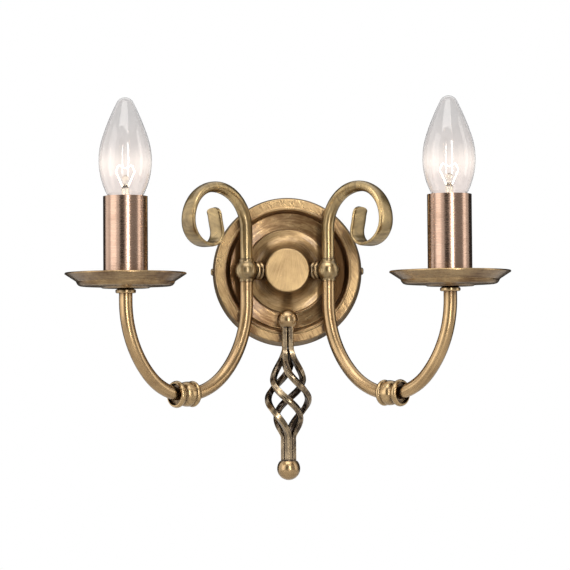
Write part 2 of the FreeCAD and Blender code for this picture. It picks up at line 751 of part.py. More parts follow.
def bar_shape(start_angle):
    """One bar: straight, then wound round the basket, then straight again."""
    bundle = dim.bar_side.value / math.sqrt(2)
    swell = dim.basket_radius.value - 2 * bundle
    length = dim.basket_length.value
    twist = math.radians(dim.basket_twist.value)

    def radius_at(part):
        return bundle + swell * math.sin(math.pi * part ** BASKET_PEAK) ** BASKET_ROUND

    def angle_at(part):
        return start_angle + twist * (part - TWIST_EASE / (2 * math.pi)
                                      * math.sin(2 * math.pi * part))

    straight_above = dim.basket_top.value - dim.bar_seat.value
    straight_below = dim.basket_tail.value
    step = 1.0 / BASKET_STEPS
    above = round(straight_above / (step * length))
    below = round(straight_below / (step * length))
    sections = [basket_section(basket_high.value + straight_above * (above - index) / above,
                               start_angle, bundle, 0, 0)
                for index in range(above)]
    for index in range(BASKET_STEPS + 1):
        part = index * step
        before, after = max(part - 0.001, 0), min(part + 0.001, 1)
        run = (after - before) * length
        lean_out = (radius_at(after) - radius_at(before)) / run
        lean_round = radius_at(part) * (angle_at(after) - angle_at(before)) / run
        sections.append(basket_section(basket_high.value - part * length, angle_at(part),
                                       radius_at(part), lean_out, lean_round))
    sections += [basket_section(basket_low.value - straight_below * (index + 1) / below,
                                start_angle + twist, bundle, 0, 0)
                 for index in range(below)]
    return Part.makeLoft(sections, True, False)


for index in range(4):
    bar = doc.addObject("Part::Feature", "finial_bar_%d" % (index + 1))
    bar.Shape = bar_shape(math.radians(-135 + 90 * index))
    keep(lay(bar, (0, -finial_depth, 0)), bar.Name)

# ---------------------------------------------------------------- arms
tube_socket = dim.tube_radius + dim.thread_clearance
rod_socket = dim.scroll_rod_radius + dim.thread_clearance
ball_neck = tube_socket + dim.ball_neck_width
ball_shoulder = ball_neck + dim.ball_neck_width
ball_seat = root(dim.ball_radius * dim.ball_radius - ball_shoulder * ball_shoulder)
ball_outline = [
    (0, dim.rod_seat),
    (0, dim.wire_chamber_radius),
    (dim.wire_chamber_radius, dim.wire_chamber_radius),
    (dim.wire_chamber_radius, -dim.rod_seat),
    (tube_socket, -dim.rod_seat),
    (tube_socket, -dim.ball_neck_rise),
    (ball_neck, -dim.ball_neck_rise),
    (ball_shoulder, -ball_seat, -dim.ball_neck_round),
    (ball_shoulder, ball_seat, dim.ball_radius),
    (ball_neck, dim.ball_neck_rise, -dim.ball_neck_round),
    (rod_socket, dim.ball_neck_rise),
    (rod_socket, dim.rod_seat)]

collar_end = dim.collar_start + dim.collar_length
collar_outline = [
    (dim.stub_radius + dim.thread_clearance, dim.collar_start + 1.2),
    (dim.collar_waist_radius, dim.collar_start + 0.6),
    (dim.collar_bead_radius, dim.collar_start + 1.6, dim.collar_bead_radius / 3),
    (dim.collar_waist_radius, dim.collar_waist_at, dim.collar_bead_radius / 3),
    (dim.collar_disc_radius, dim.collar_waist_at + 1.2, dim.collar_disc_radius / 3),
    (dim.collar_disc_radius, collar_end),
    (dim.stub_radius + dim.thread_clearance, collar_end)]


# each half of the arm's J: a wide bend down the side, then a tighter one to the knuckle
tube_top = dim.pan_rim_level - dim.pan_seat_drop - dim.tube_seat
bend_drop = (dim.arm_drop + tube_top) * dim.bend_drop_share
knuckle_reach = dim.arm_reach * dim.knuckle_share


def bend_split(reach, angle):
    """The radii of a half arm's side and lower bends, and where the two meet at that angle."""
    across = cosine(angle)
    down = sine(angle)
    side_bend = (bend_drop * across - reach * (1 - down)) / (across + down - 1)
    lower = (reach * down - bend_drop * (1 - across)) / (across + down - 1)
    return side_bend, lower, side_bend * (1 - across), side_bend * down


outer_reach = dim.arm_reach - knuckle_reach
inner_side, inner_low, inner_meet, inner_sink = bend_split(knuckle_reach, dim.inner_side_angle)
outer_side, outer_low, outer_meet, outer_sink = bend_split(outer_reach, dim.outer_side_angle)
bend_level = bend_drop - dim.arm_drop
inner_route = [
    (0, -dim.rod_seat),
    (0, bend_level),
    (inner_meet, bend_level - inner_sink, inner_side),
    (knuckle_reach, -dim.arm_drop, inner_low)]
outer_route = [
    (0, tube_top),
    (0, bend_level),
    (-outer_meet, bend_level - outer_sink, -outer_side),
    (-outer_reach, -dim.arm_drop, -outer_low)]


def bent(name, route, start, rings):
    """A rod or tube that follows a route of the arm's plane; its first run is upright."""
    body = doc.addObject("PartDesign::Body", name)
    path = draw(body, "XZ_Plane", route, closed=False)
    profile = circles(body, "XY_Plane", [(0, 0, radius) for radius in rings])
    profile.AttachmentOffset = FreeCAD.Placement(vec(0, 0, start.value), UPRIGHT)
    profile.setExpression("AttachmentOffset.Base.z", start.text)
    pipe = body.newObject("PartDesign::AdditivePipe", name + "_pipe")
    pipe.Profile = profile
    pipe.Spine = path
    return body


def arm_piece(piece, sign, outboard=0, up=0, inner=UPRIGHT):
    """Lays a piece drawn in the arm's frame on its side."""
    return lay(piece, on_arm(sign, outboard, up), arm_rotation(sign, inner))


knuckle_start = knuckle_reach - dim.knuckle_inboard
knuckle_end = knuckle_reach + dim.knuckle_outboard
bead_round = dim.knuckle_bead_width * 0.62
flange_round = dim.knuckle_flange_width * 0.56
flange_low = dim.knuckle_inboard + dim.knuckle_outboard - dim.knuckle_flange_width
barrel_start = dim.knuckle_bead_width + dim.knuckle_groove_width
barrel_end = barrel_start + dim.knuckle_barrel_width
barrel_outline = [
    (0, 0),
    (dim.knuckle_groove_radius, 0),
    (dim.knuckle_bead_radius, dim.knuckle_bead_width * 0.5, bead_round),
    (dim.knuckle_groove_radius, dim.knuckle_bead_width, bead_round),
    (dim.knuckle_groove_radius, barrel_start),
    (dim.knuckle_barrel_radius, barrel_start + 0.8, dim.knuckle_groove_width * 1.2),
    (dim.knuckle_barrel_radius - 0.35, barrel_end, dim.knuckle_barrel_width * 3),
    (dim.knuckle_waist_radius, flange_low - 0.9, dim.knuckle_waist_radius),
    (dim.knuckle_waist_radius, flange_low),
    (0, flange_low)]
flange_outline = [
    (0, 0),
    (dim.knuckle_waist_radius, 0),
    (dim.knuckle_flange_radius, dim.knuckle_flange_width * 0.55, flange_round * 1.25),
    (dim.knuckle_flange_radius - 1.1, dim.knuckle_flange_width, flange_round),
    (dim.knuckle_recess_radius, dim.knuckle_flange_width),
    (dim.knuckle_recess_radius - 0.9, dim.knuckle_flange_width - dim.knuckle_recess_depth,
     -dim.knuckle_recess_depth * 2),
    (0, dim.knuckle_flange_width - dim.knuckle_recess_depth)]

# the scroll's centre line: upright, then four bends, each tighter, then a short tail
SCROLL_STEP = 4.2
SECTION_POINTS = 20
FLATTEN_FROM = 0.295
FLATTEN_TO = 0.735


def scroll_runs():
    """The runs of the scroll as (start, heading, bend radius or None, length)."""
    bends = ((dim.scroll_first_bend.value, 90.0), (dim.scroll_second_bend.value, 90.0),
             (dim.scroll_third_bend.value, 90.0),
             (dim.scroll_fourth_bend.value, dim.scroll_fourth_angle.value))
    place = vec(0, 0, dim.rod_seat.value)
    heading = 90.0
    straight = dim.scroll_straight.value - dim.rod_seat.value
    runs = [(place, heading, None, straight)]
    place = place + vec(0, 0, straight)
    for radius, angle in bends:
        length = math.radians(angle) * radius
        runs.append((place, heading, radius, length))
        place, heading = along_run(runs[-1], length)
    runs.append((place, heading, None, dim.scroll_tail.value))
    return runs


def along_run(run, distance):
    """The place and heading at a distance along one run; every bend turns to the right."""
    place, heading, radius, _ = run
    if radius is None:
        ahead = vec(math.cos(math.radians(heading)), 0, math.sin(math.radians(heading)))
        return place + ahead * distance, heading
    right = math.radians(heading - 90)
    centre = place + vec(math.cos(right), 0, math.sin(right)) * radius
    turn = math.degrees(distance / radius)
    spoke = math.radians(heading + 90 - turn)
    return centre + vec(math.cos(spoke), 0, math.sin(spoke)) * radius, heading - turn


def scroll_shape():
    """A round rod that is drawn out, bend by bend, into a thin strip with a rounded tip."""
    runs = scroll_runs()
    whole = sum(run[3] for run in runs)
    steps = round(whole / SCROLL_STEP)
    sections = []
    for index in range(steps + 1):
        travelled = whole * index / steps
        left = travelled
        for run in runs:
            if left <= run[3] or run is runs[-1]:
                place, heading = along_run(run, left)
                break
            left -= run[3]
        flat = (travelled / whole - FLATTEN_FROM) / (FLATTEN_TO - FLATTEN_FROM)
        flat = min(max(flat, 0), 1)
        flat = flat * flat * (3 - 2 * flat)
        thick = dim.scroll_rod_radius.value + flat * (
            dim.scroll_strip_thickness.value / 2 - dim.scroll_rod_radius.value)
        wide = dim.scroll_rod_radius.value + flat * (
            dim.scroll_strip_width.value / 2 - dim.scroll_rod_radius.value)
        power = 2.0 / (2.0 + 1.6 * flat)
        normal = vec(-math.sin(math.radians(heading)), 0, math.cos(math.radians(heading)))
        ring_points = []
        for corner in range(SECTION_POINTS):
            turn = 2 * math.pi * corner / SECTION_POINTS
            across = math.copysign(abs(math.cos(turn)) ** power, math.cos(turn)) * wide
            out = math.copysign(abs(math.sin(turn)) ** power, math.sin(turn)) * thick
            ring_points.append(place + vec(0, across, 0) + normal * out)
        curve = Part.BSplineCurve()
        curve.interpolate(Points=ring_points, PeriodicFlag=True)
        sections.append(Part.Wire([curve.toShape()]))
    strip = Part.makeLoft(sections, True, False)
    half = dim.scroll_strip_width.value / 2
    tip_round = dim.scroll_tip_round.value
    ahead = (along_run(runs[-1], 1)[0] - runs[-1][0]).normalize()
    middle = place - ahead * tip_round
    beyond = Part.makeBox(half * 2, half * 4, half * 2)
    beyond.Placement = FreeCAD.Placement(
        middle - normal * half - vec(0, half * 2, 0),
        FreeCAD.Rotation(ahead, vec(0, 1, 0), normal, "ZXY"))
    oval = Part.Ellipse(middle + vec(0, half, 0), middle + ahead * tip_round, middle)
    oval = Part.Face(Part.Wire([oval.toShape()]))
    oval.translate(normal * -half)
    drum = oval.extrude(normal * half * 2)
    return strip.cut(beyond.cut(drum))


scroll_solid = scroll_shape()


def rounded_route(corners, bends):
    """Straight runs between corners, with a tangent arc of the given radius at each inner one."""
    edges = []
    start = corners[0]
    for before, corner, after, radius in zip(corners, corners[1:], corners[2:], bends):
        arriving = (corner - before).normalize()
        leaving = (after - corner).normalize()
        turn = arriving.getAngle(leaving)
        if turn < 0.001:
            continue
        reach = radius * math.tan(turn / 2)
        first, last = corner - arriving * reach, corner + leaving * reach
        bisector = (leaving - arriving).normalize()
        middle = corner + bisector * (radius / math.cos(turn / 2) - radius)
        if (first - start).Length > 0.01:
            edges.append(Part.LineSegment(start, first).toShape())
        edges.append(Part.Arc(first, middle, last).toShape())
        start = last
    if (corners[-1] - start).Length > 0.01:
        edges.append(Part.LineSegment(start, corners[-1]).toShape())
    return Part.Wire(edges)


def corner_between(x_start, z_start, x_end, z_end, heading_start, heading_end):
    """Where two tangents of the arm's plane meet."""
    first = vec(math.cos(heading_start), 0, math.sin(heading_start))
    last = vec(math.cos(heading_end), 0, math.sin(heading_end))
    gap = vec(x_end - x_start, 0, z_end - z_start)
    cross = first.x * last.z - first.z * last.x
    run = (gap.x * last.z - gap.z * last.x) / cross
    return vec(x_start, 0, z_start) + first * run


def arm_wire(sign, offset, pole, level):
    """One wire: from its pole, through hub, stub, ball and both tubes, up to the lampholder."""
    frame = FreeCAD.Placement(
        vec(*[size(number).value for number in on_arm(sign, 0, 0)]), arm_rotation(sign))
    inner_slant = -math.atan2(inner_side.value - inner_meet.value, inner_sink.value)
    outer_slant = math.atan2(outer_side.value - outer_meet.value, outer_sink.value)
    drop = -dim.arm_drop.value
    bend = bend_level.value
    reach = dim.arm_reach.value
    knuckle = knuckle_reach.value
    inner_x, inner_z = inner_meet.value, bend - inner_sink.value
    outer_x, outer_z = reach - outer_meet.value, bend - outer_sink.value
    down, flat, up = -math.pi / 2, 0.0, math.pi / 2
    local = [
        vec(-stub_end.value - 1.5, 0, 0),
        vec(0, 0, 0),
        corner_between(0, bend, inner_x, inner_z, down, inner_slant),
        corner_between(inner_x, inner_z, knuckle, drop, inner_slant, flat),
        corner_between(knuckle, drop, outer_x, outer_z, flat, outer_slant),
        corner_between(outer_x, outer_z, reach, bend, outer_slant, up),
        vec(reach, 0, dim.holder_web_low.value - dim.wire_bend.value * 2),
        vec(reach, offset * 0.6, dim.holder_web_low.value + 1.0)]
    shift = vec(0, offset, 0)
    corners = [frame.multVec(point + shift) for point in local]
    pole_x = dim.pole_pitch.value * pole
    pole_y = -pole_level.value - level
    foot = dim.block_lift.value
    corners = [vec(pole_x, pole_y, foot + 3.0), vec(pole_x, pole_y, foot - 6.5 + level)] + corners
    bends = [dim.wire_bend.value * 0.8, dim.wire_bend.value * 0.8, dim.wire_bend.value * 0.94,
             inner_side.value, inner_low.value, outer_low.value, outer_side.value,
             dim.wire_bend.value]
    route = rounded_route(corners, bends)
    start = route.Edges[0]
    heading = (start.Vertexes[-1].Point - start.Vertexes[0].Point).normalize()
    profile = Part.Wire(Part.makeCircle(dim.wire_radius.value, corners[0], heading))
    tube = route.makePipeShell([profile], True, False)
    return tube, route.Length


holder_nuts = []
for side, sign in SIDES:
    lamp_x, lamp_y, _ = on_arm(sign, dim.arm_reach, 0)

    # stub: a threaded tube between the hub and the ball
    stub = ring(side + "_arm_stub", dim.stub_radius, dim.stub_bore_radius, dim.stub_start,
                stub_end - dim.thread_clearance)
    keep(arm_piece(stub, sign, inner=TO_HUB), stub.Name)

    # collar: two beads on the stub, its inner end shaped to the hub's flare
    collar_blank = turned(side + "_collar_blank", collar_outline)
    arm_piece(collar_blank, sign, inner=TO_HUB)
    collar_name = side + "_stub_collar"
    keep(cut(collar_name, collar_blank, [hub_form]), collar_name)

    # ball: takes the scroll above, the tube below and the stub at the back
    ball_blank = turned(side + "_ball_blank", ball_outline)
    arm_piece(ball_blank, sign)
    ball_tools = [
        rod(side + "_ball_thread", dim.stub_radius + dim.thread_clearance, dim.ball_radius,
            on_arm(sign, -dim.stub_start, 0), arm_rotation(sign, TO_HUB)),
        rod(side + "_ball_wireway", dim.stub_bore_radius, dim.ball_radius,
            on_arm(sign, 0, 0), arm_rotation(sign, TO_HUB))]
    ball_name = side + "_arm_ball"
    keep(cut(ball_name, ball_blank, ball_tools), ball_name)

    # scroll
    scroll = doc.addObject("Part::Feature", side + "_scroll")
    scroll.Shape = scroll_solid.copy()
    keep(arm_piece(scroll, sign), scroll.Name)

    # the two tubes of the arm
    tube_rings = (dim.tube_radius, dim.tube_radius - dim.tube_wall)
    inner_arm = bent(side + "_inner_arm", inner_route, -dim.rod_seat, tube_rings)
    keep(arm_piece(inner_arm, sign), inner_arm.Name)
    outer_arm = bent(side + "_outer_arm", outer_route, tube_top, tube_rings)
    keep(arm_piece(outer_arm, sign, dim.arm_reach), outer_arm.Name)

    # knuckle: a barrel on the inner tube and a flange on the outer one
    tube_core = (dim.tube_radius,)
    inner_core = bent(side + "_inner_core", inner_route, -dim.rod_seat, tube_core)
    arm_piece(inner_core, sign)
    outer_core = bent(side + "_outer_core", outer_route, tube_top, tube_core)
    arm_piece(outer_core, sign, dim.arm_reach)
    for label, outline, start in (("_knuckle_barrel", barrel_outline, knuckle_start),
                                  ("_knuckle_flange", flange_outline,
                                   knuckle_end - dim.knuckle_flange_width)):
        knuckle_blank = turned(side + label + "_blank", outline)
        arm_piece(knuckle_blank, sign, start, dim.knuckle_rise - dim.arm_drop, OUTBOARD)
        keep(cut(side + label, knuckle_blank, [inner_core, outer_core]), side + label)

    # pan collar: a ring that covers the end of the tube under the pan
    nipple_radius = dim.tube_radius - dim.tube_wall - dim.thread_clearance
    pan_bottom = dim.pan_rim_level - dim.pan_seat_drop
    collar_low = pan_bottom - dim.pan_collar_height
    pan_collar = turned(side + "_pan_collar", [
        (nipple_radius + dim.thread_clearance, pan_bottom),
        (nipple_radius + dim.thread_clearance, tube_top),
        (dim.tube_radius + dim.thread_clearance, tube_top),
        (dim.tube_radius + dim.thread_clearance, collar_low),
        (dim.pan_collar_radius - 0.8, collar_low),
        (dim.pan_collar_radius, collar_low + 0.8, size(0.8)),
        (dim.pan_collar_radius, pan_bottom - dim.pan_collar_neck - 0.6),
        (dim.pan_collar_radius - 0.9, pan_bottom - dim.pan_collar_neck, size(0.9)),
        (dim.pan_collar_radius - 1.6, pan_bottom)])
    keep(lay(pan_collar, (lamp_x, lamp_y, 0)), pan_collar.Name)

    # drip pan
    rim = dim.pan_rim_level
    pan = turned(side + "_drip_pan", [
        (nipple_radius + dim.thread_clearance, rim - dim.pan_seat_drop),
        (dim.pan_seat_radius, rim - dim.pan_seat_drop),
        (dim.pan_foot_radius, rim - dim.pan_foot_drop),
        (dim.pan_floor_radius, rim - dim.pan_floor_drop),
        (dim.pan_band_radius, rim - dim.pan_band_drop, size(4.0)),
        (dim.pan_groove_radius - dim.pan_notch,
         rim - dim.pan_groove_drop - dim.pan_notch * 0.7, size(5.0)),
        (dim.pan_groove_radius, rim - dim.pan_groove_drop),
        (dim.pan_radius, rim - dim.pan_sheet * 0.5),
        (dim.pan_radius, rim + dim.pan_sheet * 0.3, dim.pan_sheet * 0.5),
        (dim.pan_radius - dim.pan_sheet, rim + dim.pan_sheet * 0.4, dim.pan_sheet * 0.55),
        (dim.pan_groove_radius - dim.pan_sheet * 0.4, rim - dim.pan_groove_drop + dim.pan_sheet),
        (dim.pan_band_radius - dim.pan_sheet * 0.7, rim - dim.pan_band_drop + dim.pan_sheet),
        (dim.pan_floor_radius - dim.pan_sheet * 0.4, rim - dim.pan_floor_drop + dim.pan_sheet,
         -size(3.4)),
        (dim.pan_foot_radius + dim.pan_sheet * 0.2, rim - dim.pan_foot_drop + dim.pan_sheet),
        (dim.pan_seat_radius, rim - dim.pan_seat_drop + dim.pan_sheet),
        (nipple_radius + dim.thread_clearance, rim - dim.pan_seat_drop + dim.pan_sheet)])
    keep(lay(pan, (lamp_x, lamp_y, 0)), pan.Name)

    # nipple and nut that clamp pan and collar to the tube and carry the lampholder
    pan_floor = pan_bottom + dim.pan_sheet
    nipple_top = pan_bottom + dim.nipple_rise
    nipple = ring(side + "_holder_nipple", nipple_radius, nipple_radius - dim.nipple_wall,
                  tube_top - dim.nipple_grip, nipple_top)
    keep(lay(nipple, (lamp_x, lamp_y, 0)), nipple.Name)
    holder_nuts.append(hexagon(side + "_holder_nut", dim.holder_nut_across, dim.holder_nut_height,
                               nipple_radius + dim.thread_clearance,
                               (lamp_x, lamp_y, pan_floor)))

    # lampholder: an insulating body with a screw shell and a sprung contact
    holder_low = pan_floor + dim.holder_nut_height
    shell_low = dim.holder_web_high
    holder_blank = turned(side + "_holder_blank", [
        (nipple_radius + dim.thread_clearance, holder_low),
        (dim.holder_foot_radius, holder_low),
        (dim.holder_foot_radius, holder_low + dim.holder_foot_height),
        (dim.holder_radius, holder_low + dim.holder_foot_height + 3.0),
        (dim.holder_radius, dim.holder_top - 0.8),
        (dim.holder_radius - 0.8, dim.holder_top, size(0.8)),
        (dim.shell_radius + dim.thread_clearance, dim.holder_top),
        (dim.shell_radius + dim.thread_clearance, shell_low),
        (0, shell_low),
        (0, dim.holder_web_low),
        (dim.holder_chamber_radius, dim.holder_web_low),
        (dim.holder_chamber_radius, nipple_top),
        (nipple_radius + dim.thread_clearance, nipple_top)])
    lay(holder_blank, (lamp_x, lamp_y, 0))
    wire_ways = []
    for mark, way in (("a", -1), ("b", 1)):
        across = dim.wire_spacing * 0.8 * way
        wire_ways.append(rod("%s_wire_way_%s" % (side, mark), dim.wire_hole_radius,
                             shell_low - dim.holder_web_low,
                             (lamp_x + across * sine(dim.arm_turn),
                              lamp_y + across * cosine(dim.arm_turn) * sign,
                              dim.holder_web_low)))
    holder_name = side + "_lampholder_body"
    keep(cut(holder_name, holder_blank, wire_ways), holder_name)
    shell = ring(side + "_lampholder_shell", dim.shell_radius, dim.shell_radius - dim.shell_wall,
                 shell_low + 1.2, dim.holder_top - dim.shell_inset)
    keep(lay(shell, (lamp_x, lamp_y, 0)), shell.Name)
    contact_top = dim.cap_bottom - dim.insulator_drop - dim.lamp_contact_height \
        - dim.contact_clearance
    contact_name = side + "_lampholder_contact"
    contact_blank = doc.addObject("PartDesign::Body", contact_name)
    half = dim.shell_radius - dim.shell_wall - 1.4
    contact_profile = draw(contact_blank, "XZ_Plane", [
        (-half, shell_low),
        (half, shell_low),
        (half, shell_low + dim.contact_thickness),
        (half * 0.45, shell_low + dim.contact_thickness),
        (half * 0.3, contact_top),
        (-half * 0.3, contact_top),
        (-half * 0.45, shell_low + dim.contact_thickness),
        (-half, shell_low + dim.contact_thickness)])
    contact_pad = contact_blank.newObject("PartDesign::Pad", contact_name + "_pad")
    contact_pad.Profile = contact_profile
    contact_pad.SideType = "Symmetric"
    contact_pad.setExpression("Length", dim.contact_width.text)
    keep(lay(contact_blank, (lamp_x, lamp_y, 0)), contact_name)

    # candle sleeve
    sleeve = ring(side + "_candle_sleeve", dim.sleeve_radius, dim.sleeve_radius - dim.sleeve_wall,
                  pan_floor + dim.sleeve_gap, dim.sleeve_top)
    keep(lay(sleeve, (lamp_x, lamp_y, 0)), sleeve.Name)

    # lamp glass: a shoulder, a taper and a round tip above, a neck below
    tip_round = (dim.lamp_radius
                 - dim.lamp_shoulder_round * (1 - cosine(dim.lamp_shoulder_angle))
                 - dim.lamp_taper_round * (cosine(dim.lamp_shoulder_angle)
                                           - cosine(dim.lamp_taper_angle))
                 ) / cosine(dim.lamp_taper_angle)
    wall = dim.lamp_glass_wall
    lamp_widest = dim.cap_top + dim.lamp_widest_rise

    def glass_line(skin):
        """The lamp's profile from the tip down to the neck, drawn in by the skin."""
        radius = dim.lamp_radius - skin
        shoulder = dim.lamp_shoulder_round - skin
        taper = dim.lamp_taper_round - skin
        lower = dim.lamp_lower_round - skin
        neck = dim.lamp_neck_round + skin
        shoulder_x = radius - shoulder * (1 - cosine(dim.lamp_shoulder_angle))
        shoulder_z = lamp_widest + shoulder * sine(dim.lamp_shoulder_angle)
        taper_x = shoulder_x - taper * (cosine(dim.lamp_shoulder_angle)
                                        - cosine(dim.lamp_taper_angle))
        taper_z = shoulder_z + taper * (sine(dim.lamp_taper_angle)
                                        - sine(dim.lamp_shoulder_angle))
        tip = tip_round - skin
        tip_z = taper_z + tip * (1 - sine(dim.lamp_taper_angle))
        lower_x = radius - lower * (1 - cosine(dim.lamp_lower_angle))
        lower_z = lamp_widest - lower * sine(dim.lamp_lower_angle)
        neck_radius = dim.lamp_neck_radius - skin
        neck_x = neck_radius + neck * (1 - cosine(dim.lamp_lower_angle))
        slope = (lower_x - neck_x) / sine(dim.lamp_lower_angle)
        neck_z = lower_z - slope * cosine(dim.lamp_lower_angle)
        end_z = neck_z - neck * sine(dim.lamp_lower_angle)
        return [(0, tip_z), (taper_x, taper_z, -tip), (shoulder_x, shoulder_z, -taper),
                (radius, lamp_widest, -shoulder), (lower_x, lower_z, -lower),
                (neck_x, neck_z), (neck_radius, end_z, neck),
                (neck_radius, dim.cap_top - dim.lamp_neck_depth)]

    outside = glass_line(size(0))
    inside = glass_line(wall)
    back = [inside[-1]]
    for before, point in zip(inside[:0:-1], inside[-2::-1]):
        back.append(point[:2] + ((-before[2],) if len(before) > 2 else ()))
    glass = turned(side + "_lamp_glass", outside + back)
    keep(lay(glass, (lamp_x, lamp_y, 0)), glass.Name)

    # lamp cap: rounded thread below, plain skirt above, insulator and contact underneath
    groove = dim.cap_thread_radius - dim.cap_thread_depth
    thread_round = dim.cap_thread_pitch * 0.36
    threads = [(groove, dim.cap_bottom)]
    for turn in range(int(dim.cap_thread_turns.value)):
        level = dim.cap_bottom + dim.cap_thread_pitch * turn
        threads.append((dim.cap_thread_radius, level + dim.cap_thread_pitch * 0.5, thread_round))
        threads.append((groove, level + dim.cap_thread_pitch, thread_round))
    thread_top = dim.cap_bottom + dim.cap_thread_pitch * int(dim.cap_thread_turns.value)
    cap_inside = groove - dim.cap_wall
    cap = turned(side + "_lamp_cap", threads + [
        (dim.cap_skirt_radius, thread_top + 1.4),
        (dim.cap_skirt_radius, dim.cap_top),
        (dim.cap_skirt_radius - dim.cap_wall, dim.cap_top),
        (dim.cap_skirt_radius - dim.cap_wall, thread_top + 1.6),
        (cap_inside, thread_top),
        (cap_inside, dim.cap_bottom)])
    keep(lay(cap, (lamp_x, lamp_y, 0)), cap.Name)
    insulator_low = dim.cap_bottom - dim.insulator_drop
    insulator = turned(side + "_lamp_contact", [
        (0, insulator_low - dim.lamp_contact_height),
        (dim.lamp_contact_radius * 0.6, insulator_low - dim.lamp_contact_height),
        (dim.lamp_contact_radius, insulator_low, dim.lamp_contact_radius),
        (groove - 0.4, dim.cap_bottom, groove * 1.5),
        (cap_inside - dim.thread_clearance, dim.cap_bottom),
        (cap_inside - dim.thread_clearance, dim.cap_bottom + 1.6),
        (0, dim.cap_bottom + 1.6)])
    keep(lay(insulator, (lamp_x, lamp_y, 0)), insulator.Name)

    # glass stem and filament
    stem_low = dim.cap_top - 1.4
    stem_top = dim.cap_top + dim.stem_rise
    bead_low = stem_top - dim.stem_bead_radius
    stem = turned(side + "_lamp_stem", [
        (0, stem_low),
        (dim.stem_flare_radius, stem_low),
        (dim.stem_radius, stem_low + 6.5, -size(9.0)),
        (dim.stem_radius, bead_low - 6.0),
        (dim.stem_radius * 0.45, bead_low - 3.2),
        (dim.stem_radius * 0.45, bead_low - 0.8),
        (dim.stem_bead_radius, bead_low + 1.0, dim.stem_bead_radius),
        (0, stem_top + 1.0, dim.stem_bead_radius)])
    keep(lay(stem, (lamp_x, lamp_y, 0)), stem.Name)
    filament = doc.addObject("Part::Feature", side + "_lamp_filament")
    spread = dim.filament_spread.value
    foot_z = bead_low.value - 4.0
    head_z = foot_z + dim.filament_rise.value
    filament_corners = [vec(-dim.stem_radius.value * 0.8, 0, foot_z),
                        vec(-spread, 0, head_z - 3.0), vec(-spread * 0.72, 0, head_z + 1.6),
                        vec(0, 0, head_z - 1.2),
                        vec(spread * 0.72, 0, head_z + 1.6), vec(spread, 0, head_z - 3.0),
                        vec(dim.stem_radius.value * 0.8, 0, foot_z)]
    filament_route = rounded_route(filament_corners, [1.6, 1.2, 2.2, 1.2, 1.6])
    heading = (filament_corners[1] - filament_corners[0]).normalize()
    filament_ring = Part.Wire(Part.makeCircle(dim.filament_wire_radius.value,
                                              filament_corners[0], heading))
    filament.Shape = filament_route.makePipeShell([filament_ring], True, False)
    keep(lay(filament, (lamp_x, lamp_y, 0)), filament.Name)

    # the arm's two wires
    strands = []
    half_gap = dim.wire_spacing.value / 2
    for offset, pole in ((-half_gap, -1 if sign > 0 else 0), (half_gap, 0 if sign > 0 else -1)):
        strand, strand_length = arm_wire(sign, offset, pole, 0.95 * sign)
        print("%s wire %.0f mm long" % (side, strand_length))
        strands.append(strand)
    wires = doc.addObject("Part::Feature", side + "_arm_wires")
    wires.Shape = Part.makeCompound(strands)
    keep(wires, wires.Name)

keep(together("holder_nuts", holder_nuts), "holder_nuts")

# ---------------------------------------------------------------- checks and files
doc.recompute()
for item in doc.Objects:
    if "Invalid" in item.State or "Error" in item.State:
        raise RuntimeError("%s did not build: %s" % (item.Label, item.State))
for piece in parts:
    if piece.Shape.isNull() or not piece.Shape.isValid() or not piece.Shape.Solids:
        raise RuntimeError("%s has no valid solid" % piece.Label)
for piece in parts:
    piece.Shape.exportStep("parts/%s.step" % piece.Label)
print("%d sub-parts" % len(parts))
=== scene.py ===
import math
import bpy
import bmesh
from mathutils import Matrix, Vector


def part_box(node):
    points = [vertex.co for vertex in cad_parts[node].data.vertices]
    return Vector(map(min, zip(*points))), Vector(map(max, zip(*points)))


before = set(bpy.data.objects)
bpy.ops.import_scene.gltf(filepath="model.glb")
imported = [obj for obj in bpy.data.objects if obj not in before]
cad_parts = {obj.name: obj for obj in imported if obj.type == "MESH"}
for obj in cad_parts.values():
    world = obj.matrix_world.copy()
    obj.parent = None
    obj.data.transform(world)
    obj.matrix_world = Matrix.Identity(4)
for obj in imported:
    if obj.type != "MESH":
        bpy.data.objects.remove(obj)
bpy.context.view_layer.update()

# ---------------------------------------------------------------------------------------------
# The studio: open white all round, a pale floor, four area lights, and tall curved cards, seen only
# in reflections, that put bright and dark stripes into the metal.  The camera stands 1.5 m away, a
# little left and a little low.


def link(tree, start, end):
    tree.links.new(start, end)


def number(tree, kind, *values):
    """A maths node on numbers or sockets."""
    step = tree.nodes.new("ShaderNodeMath")
    step.operation = kind
    for index, value in enumerate(values):
        if isinstance(value, (int, float)):
            step.inputs[index].default_value = value
        else:
            link(tree, value, step.inputs[index])
    return step.outputs[0]


def new_finish(name):
    """A new material and its shader."""
    finish = bpy.data.materials.new(name)
    finish.use_nodes = True
    return finish, finish.node_tree.nodes["Principled BSDF"]


def studio_piece(name, shape, paint):
    """Makes an object of a finished bmesh and paints it."""
    mesh = bpy.data.meshes.new(name)
    shape.to_mesh(mesh)
    shape.free()
    made = bpy.data.objects.new(name, mesh)
    bpy.context.collection.objects.link(made)
    made.data.materials.append(paint)
    return made


def facing(azimuth, elevation, distance, middle):
    """The place at that azimuth (0 in front, + to the right), turned to look at the middle."""
    sideways = math.radians(azimuth)
    upwards = math.radians(elevation)
    away = Vector((math.sin(sideways) * math.cos(upwards),
                   -math.cos(sideways) * math.cos(upwards),
                   math.sin(upwards)))
    turn = away.to_track_quat("Z", "Y").to_matrix().to_4x4()
    return Matrix.Translation(middle + away * distance) @ turn


